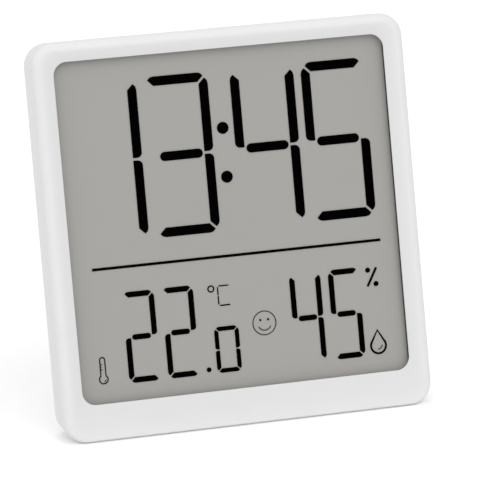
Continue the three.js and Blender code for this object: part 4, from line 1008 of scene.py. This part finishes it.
door_panel = eased_copy("door_panel", "battery_door", edge=0.2)
dress(door_panel, "door", case_white, "case_plastic", "battery_door")
rib_tree, nodes, links, start, finish = node_tree("grip_ribs", [
    ("Count", "NodeSocketInt"),
    ("Pitch", "NodeSocketFloat"),
    ("Rib length", "NodeSocketFloat"),
    ("Rib width", "NodeSocketFloat"),
    ("Rib end", "NodeSocketFloat"),
    ("Rib height", "NodeSocketFloat"),
    ("Plastic", "NodeSocketMaterial"),
])
rib_step = nodes.new("ShaderNodeCombineXYZ")
rib_row = nodes.new("GeometryNodeMeshLine")
rib_outline = nodes.new("GeometryNodeCurvePrimitiveQuadrilateral")
rib_ends = nodes.new("GeometryNodeFilletCurve")
rib_ends.mode = "POLY"
rib_ends.inputs["Count"].default_value = 6
rib_ends.inputs["Limit Radius"].default_value = True
rib_base = nodes.new("GeometryNodeFillCurve")
rib_base.mode = "NGONS"
rib_rise = nodes.new("GeometryNodeExtrudeMesh")
rib_rise.inputs["Individual"].default_value = False
rib_taper = nodes.new("GeometryNodeScaleElements")
rib_taper.inputs["Scale"].default_value = 0.97
rib_floor = nodes.new("GeometryNodeFlipFaces")
rib_whole = nodes.new("GeometryNodeJoinGeometry")
rib_closed = nodes.new("GeometryNodeMergeByDistance")
rib_spread = nodes.new("GeometryNodeInstanceOnPoints")
links.new(start.outputs["Pitch"], rib_step.inputs["Y"])
links.new(start.outputs["Count"], rib_row.inputs["Count"])
links.new(rib_step.outputs["Vector"], rib_row.inputs["Offset"])
links.new(start.outputs["Rib length"], rib_outline.inputs["Width"])
links.new(start.outputs["Rib width"], rib_outline.inputs["Height"])
links.new(rib_outline.outputs["Curve"], rib_ends.inputs["Curve"])
links.new(start.outputs["Rib end"], rib_ends.inputs["Radius"])
links.new(rib_ends.outputs["Curve"], rib_base.inputs["Curve"])
links.new(rib_base.outputs["Mesh"], rib_rise.inputs["Mesh"])
links.new(start.outputs["Rib height"], rib_rise.inputs["Offset Scale"])
links.new(rib_rise.outputs["Mesh"], rib_taper.inputs["Geometry"])
links.new(rib_rise.outputs["Top"], rib_taper.inputs["Selection"])
links.new(rib_base.outputs["Mesh"], rib_floor.inputs["Mesh"])
links.new(rib_taper.outputs["Geometry"], rib_whole.inputs["Geometry"])
links.new(rib_floor.outputs["Mesh"], rib_whole.inputs["Geometry"])
links.new(rib_whole.outputs["Geometry"], rib_closed.inputs["Geometry"])
links.new(rib_row.outputs["Mesh"], rib_spread.inputs["Points"])
links.new(rib_closed.outputs["Geometry"], rib_spread.inputs["Instance"])
coat_and_finish(rib_tree, rib_spread.outputs["Instances"], start.outputs["Plastic"], finish)
ribs = grow("door_ribs", bpy.data.meshes.new("door_ribs"), rib_tree, {
    "Count": 4,
    "Pitch": 1.5,
    "Rib length": 13.0,
    "Rib width": 0.7,
    "Rib end": 0.35,
    "Rib height": 0.35,
    "Plastic": case_white,
})
door_middle = node_middle("battery_door")[0]
door_back, door_top = (high for low, high in node_box("battery_door")[1:])
rib_sink, rib_drop = 0.1, 6.7
rib_place = Matrix.Translation((door_middle, door_back - rib_sink, door_top - rib_drop))
ribs.data.transform(upright @ rib_place @ from_behind)
dress(ribs, "door", case_white, "case_plastic")

# Stand leg: a flat white moulded plate with a barrel and two pins that snap into the cover's
# recess, swung out to its stop with its end on the table.
easel_leg = eased_copy("easel_leg", "stand_leg", edge=0.4)
dress(easel_leg, "stand", case_white, "case_plastic", "stand_leg")

# Studio: a wide pale table top that runs out of sight, an even white surround, a broad soft lamp
# in front and a little to the right, wider ones from the left and, weaker, from the right, and a
# small one above and behind.
bpy.context.scene.view_settings.view_transform = "Standard"
table_half, table_gap = 6.0, 0.00005
table = bpy.data.meshes.new("table_top")
table.from_pydata(
    [(x * table_half, y * table_half, -table_gap) for x, y in ((-1, -1), (1, -1), (1, 1), (-1, 1))],
    [],
    [(0, 1, 2, 3)],
)
table_top = bpy.data.objects.new("table_top", table)
bpy.context.scene.collection.objects.link(table_top)


def seen_directly(nodes, links):
    path = nodes.new("ShaderNodeLightPath")
    seen = path.outputs["Is Camera Ray"]
    for label in ("Is Glossy Ray", "Is Transmission Ray"):
        either = nodes.new("ShaderNodeMath")
        either.operation = "MAXIMUM"
        links.new(seen, either.inputs[0])
        links.new(path.outputs[label], either.inputs[1])
        seen = either.outputs[0]
    return seen


table_white = bpy.data.materials.new("table_white")
table_white.use_nodes = True
nodes, links = table_white.node_tree.nodes, table_white.node_tree.links
nodes.clear()
table_paint = nodes.new("ShaderNodeBsdfDiffuse")
table_paint.inputs["Color"].default_value = (0.93, 0.93, 0.93, 1)
table_lift = nodes.new("ShaderNodeMath")
table_lift.operation = "MULTIPLY"
table_lift.inputs[1].default_value = 0.17
table_glow = nodes.new("ShaderNodeEmission")
table_sum = nodes.new("ShaderNodeAddShader")
table_out = nodes.new("ShaderNodeOutputMaterial")
links.new(seen_directly(nodes, links), table_lift.inputs[0])
links.new(table_lift.outputs[0], table_glow.inputs["Strength"])
links.new(table_paint.outputs[0], table_sum.inputs[0])
links.new(table_glow.outputs[0], table_sum.inputs[1])
links.new(table_sum.outputs[0], table_out.inputs["Surface"])
table_top.data.materials.append(table_white)

surround = bpy.data.worlds.new("white_surround")
bpy.context.scene.world = surround
surround.use_nodes = True
nodes, links = surround.node_tree.nodes, surround.node_tree.links
sky = nodes["Background"]
sky.inputs["Color"].default_value = (1, 1, 1, 1)
sky_level = nodes.new("ShaderNodeMapRange")
sky_level.inputs["To Min"].default_value = 0.57
sky_level.inputs["To Max"].default_value = 1
links.new(seen_directly(nodes, links), sky_level.inputs["Value"])
links.new(sky_level.outputs["Result"], sky.inputs["Strength"])

for name, level, spread, shines in (
    ("soft_key", 0.75, 50, (-0.2, 0.73, -0.65)),
    ("left_fill", 0.78, 90, (0.75, 0.45, -0.45)),
    ("right_fill", 0.25, 90, (-0.6, 0.6, -0.5)),
    ("top_light", 0.38, 8, (0.0, -0.225, -0.97)),
):
    lamp = bpy.data.lights.new(name, "SUN")
    lamp.energy = level
    lamp.angle = math.radians(spread)
    light = bpy.data.objects.new(name, lamp)
    light.rotation_euler = Vector(shines).to_track_quat("-Z", "Y").to_euler()
    bpy.context.scene.collection.objects.link(light)

# Camera: a long lens from the left and a little above, turned so that the clock leans in the
# frame as in the picture.
picture_pixels, focal_pixels = 500, 3700
camera_roll, camera_pitch, camera_yaw = -4.97, 4.03, -14.94
sight = (
    Matrix.Rotation(math.radians(camera_roll), 3, "Z")
    @ Matrix.Rotation(math.radians(camera_pitch), 3, "X")
    @ Matrix.Rotation(math.radians(camera_yaw), 3, "Y")
)
sight_shift = Vector((-5.83, -11.63, 1357.0))
face_axes = Matrix(((1, 0, 0), (0, 0, 1), (0, -1, 0)))
window_middle = Vector((0, face_fall, (window_bottom + window_top) / 2))
camera_place = upright @ (window_middle - face_axes @ sight.transposed() @ sight_shift)
camera_turn = standing.to_3x3() @ face_axes @ sight.transposed() @ Matrix.Diagonal((1, -1, -1))
camera_data = bpy.data.cameras.new("picture_camera")
camera_data.sensor_width = 36
camera_data.lens = focal_pixels / picture_pixels * camera_data.sensor_width
camera_data.clip_start = 0.05
camera_data.clip_end = 30
camera = bpy.data.objects.new("picture_camera", camera_data)
camera.matrix_world = Matrix.Translation(camera_place) @ camera_turn.to_4x4()
bpy.context.scene.collection.objects.link(camera)
bpy.context.scene.camera = camera
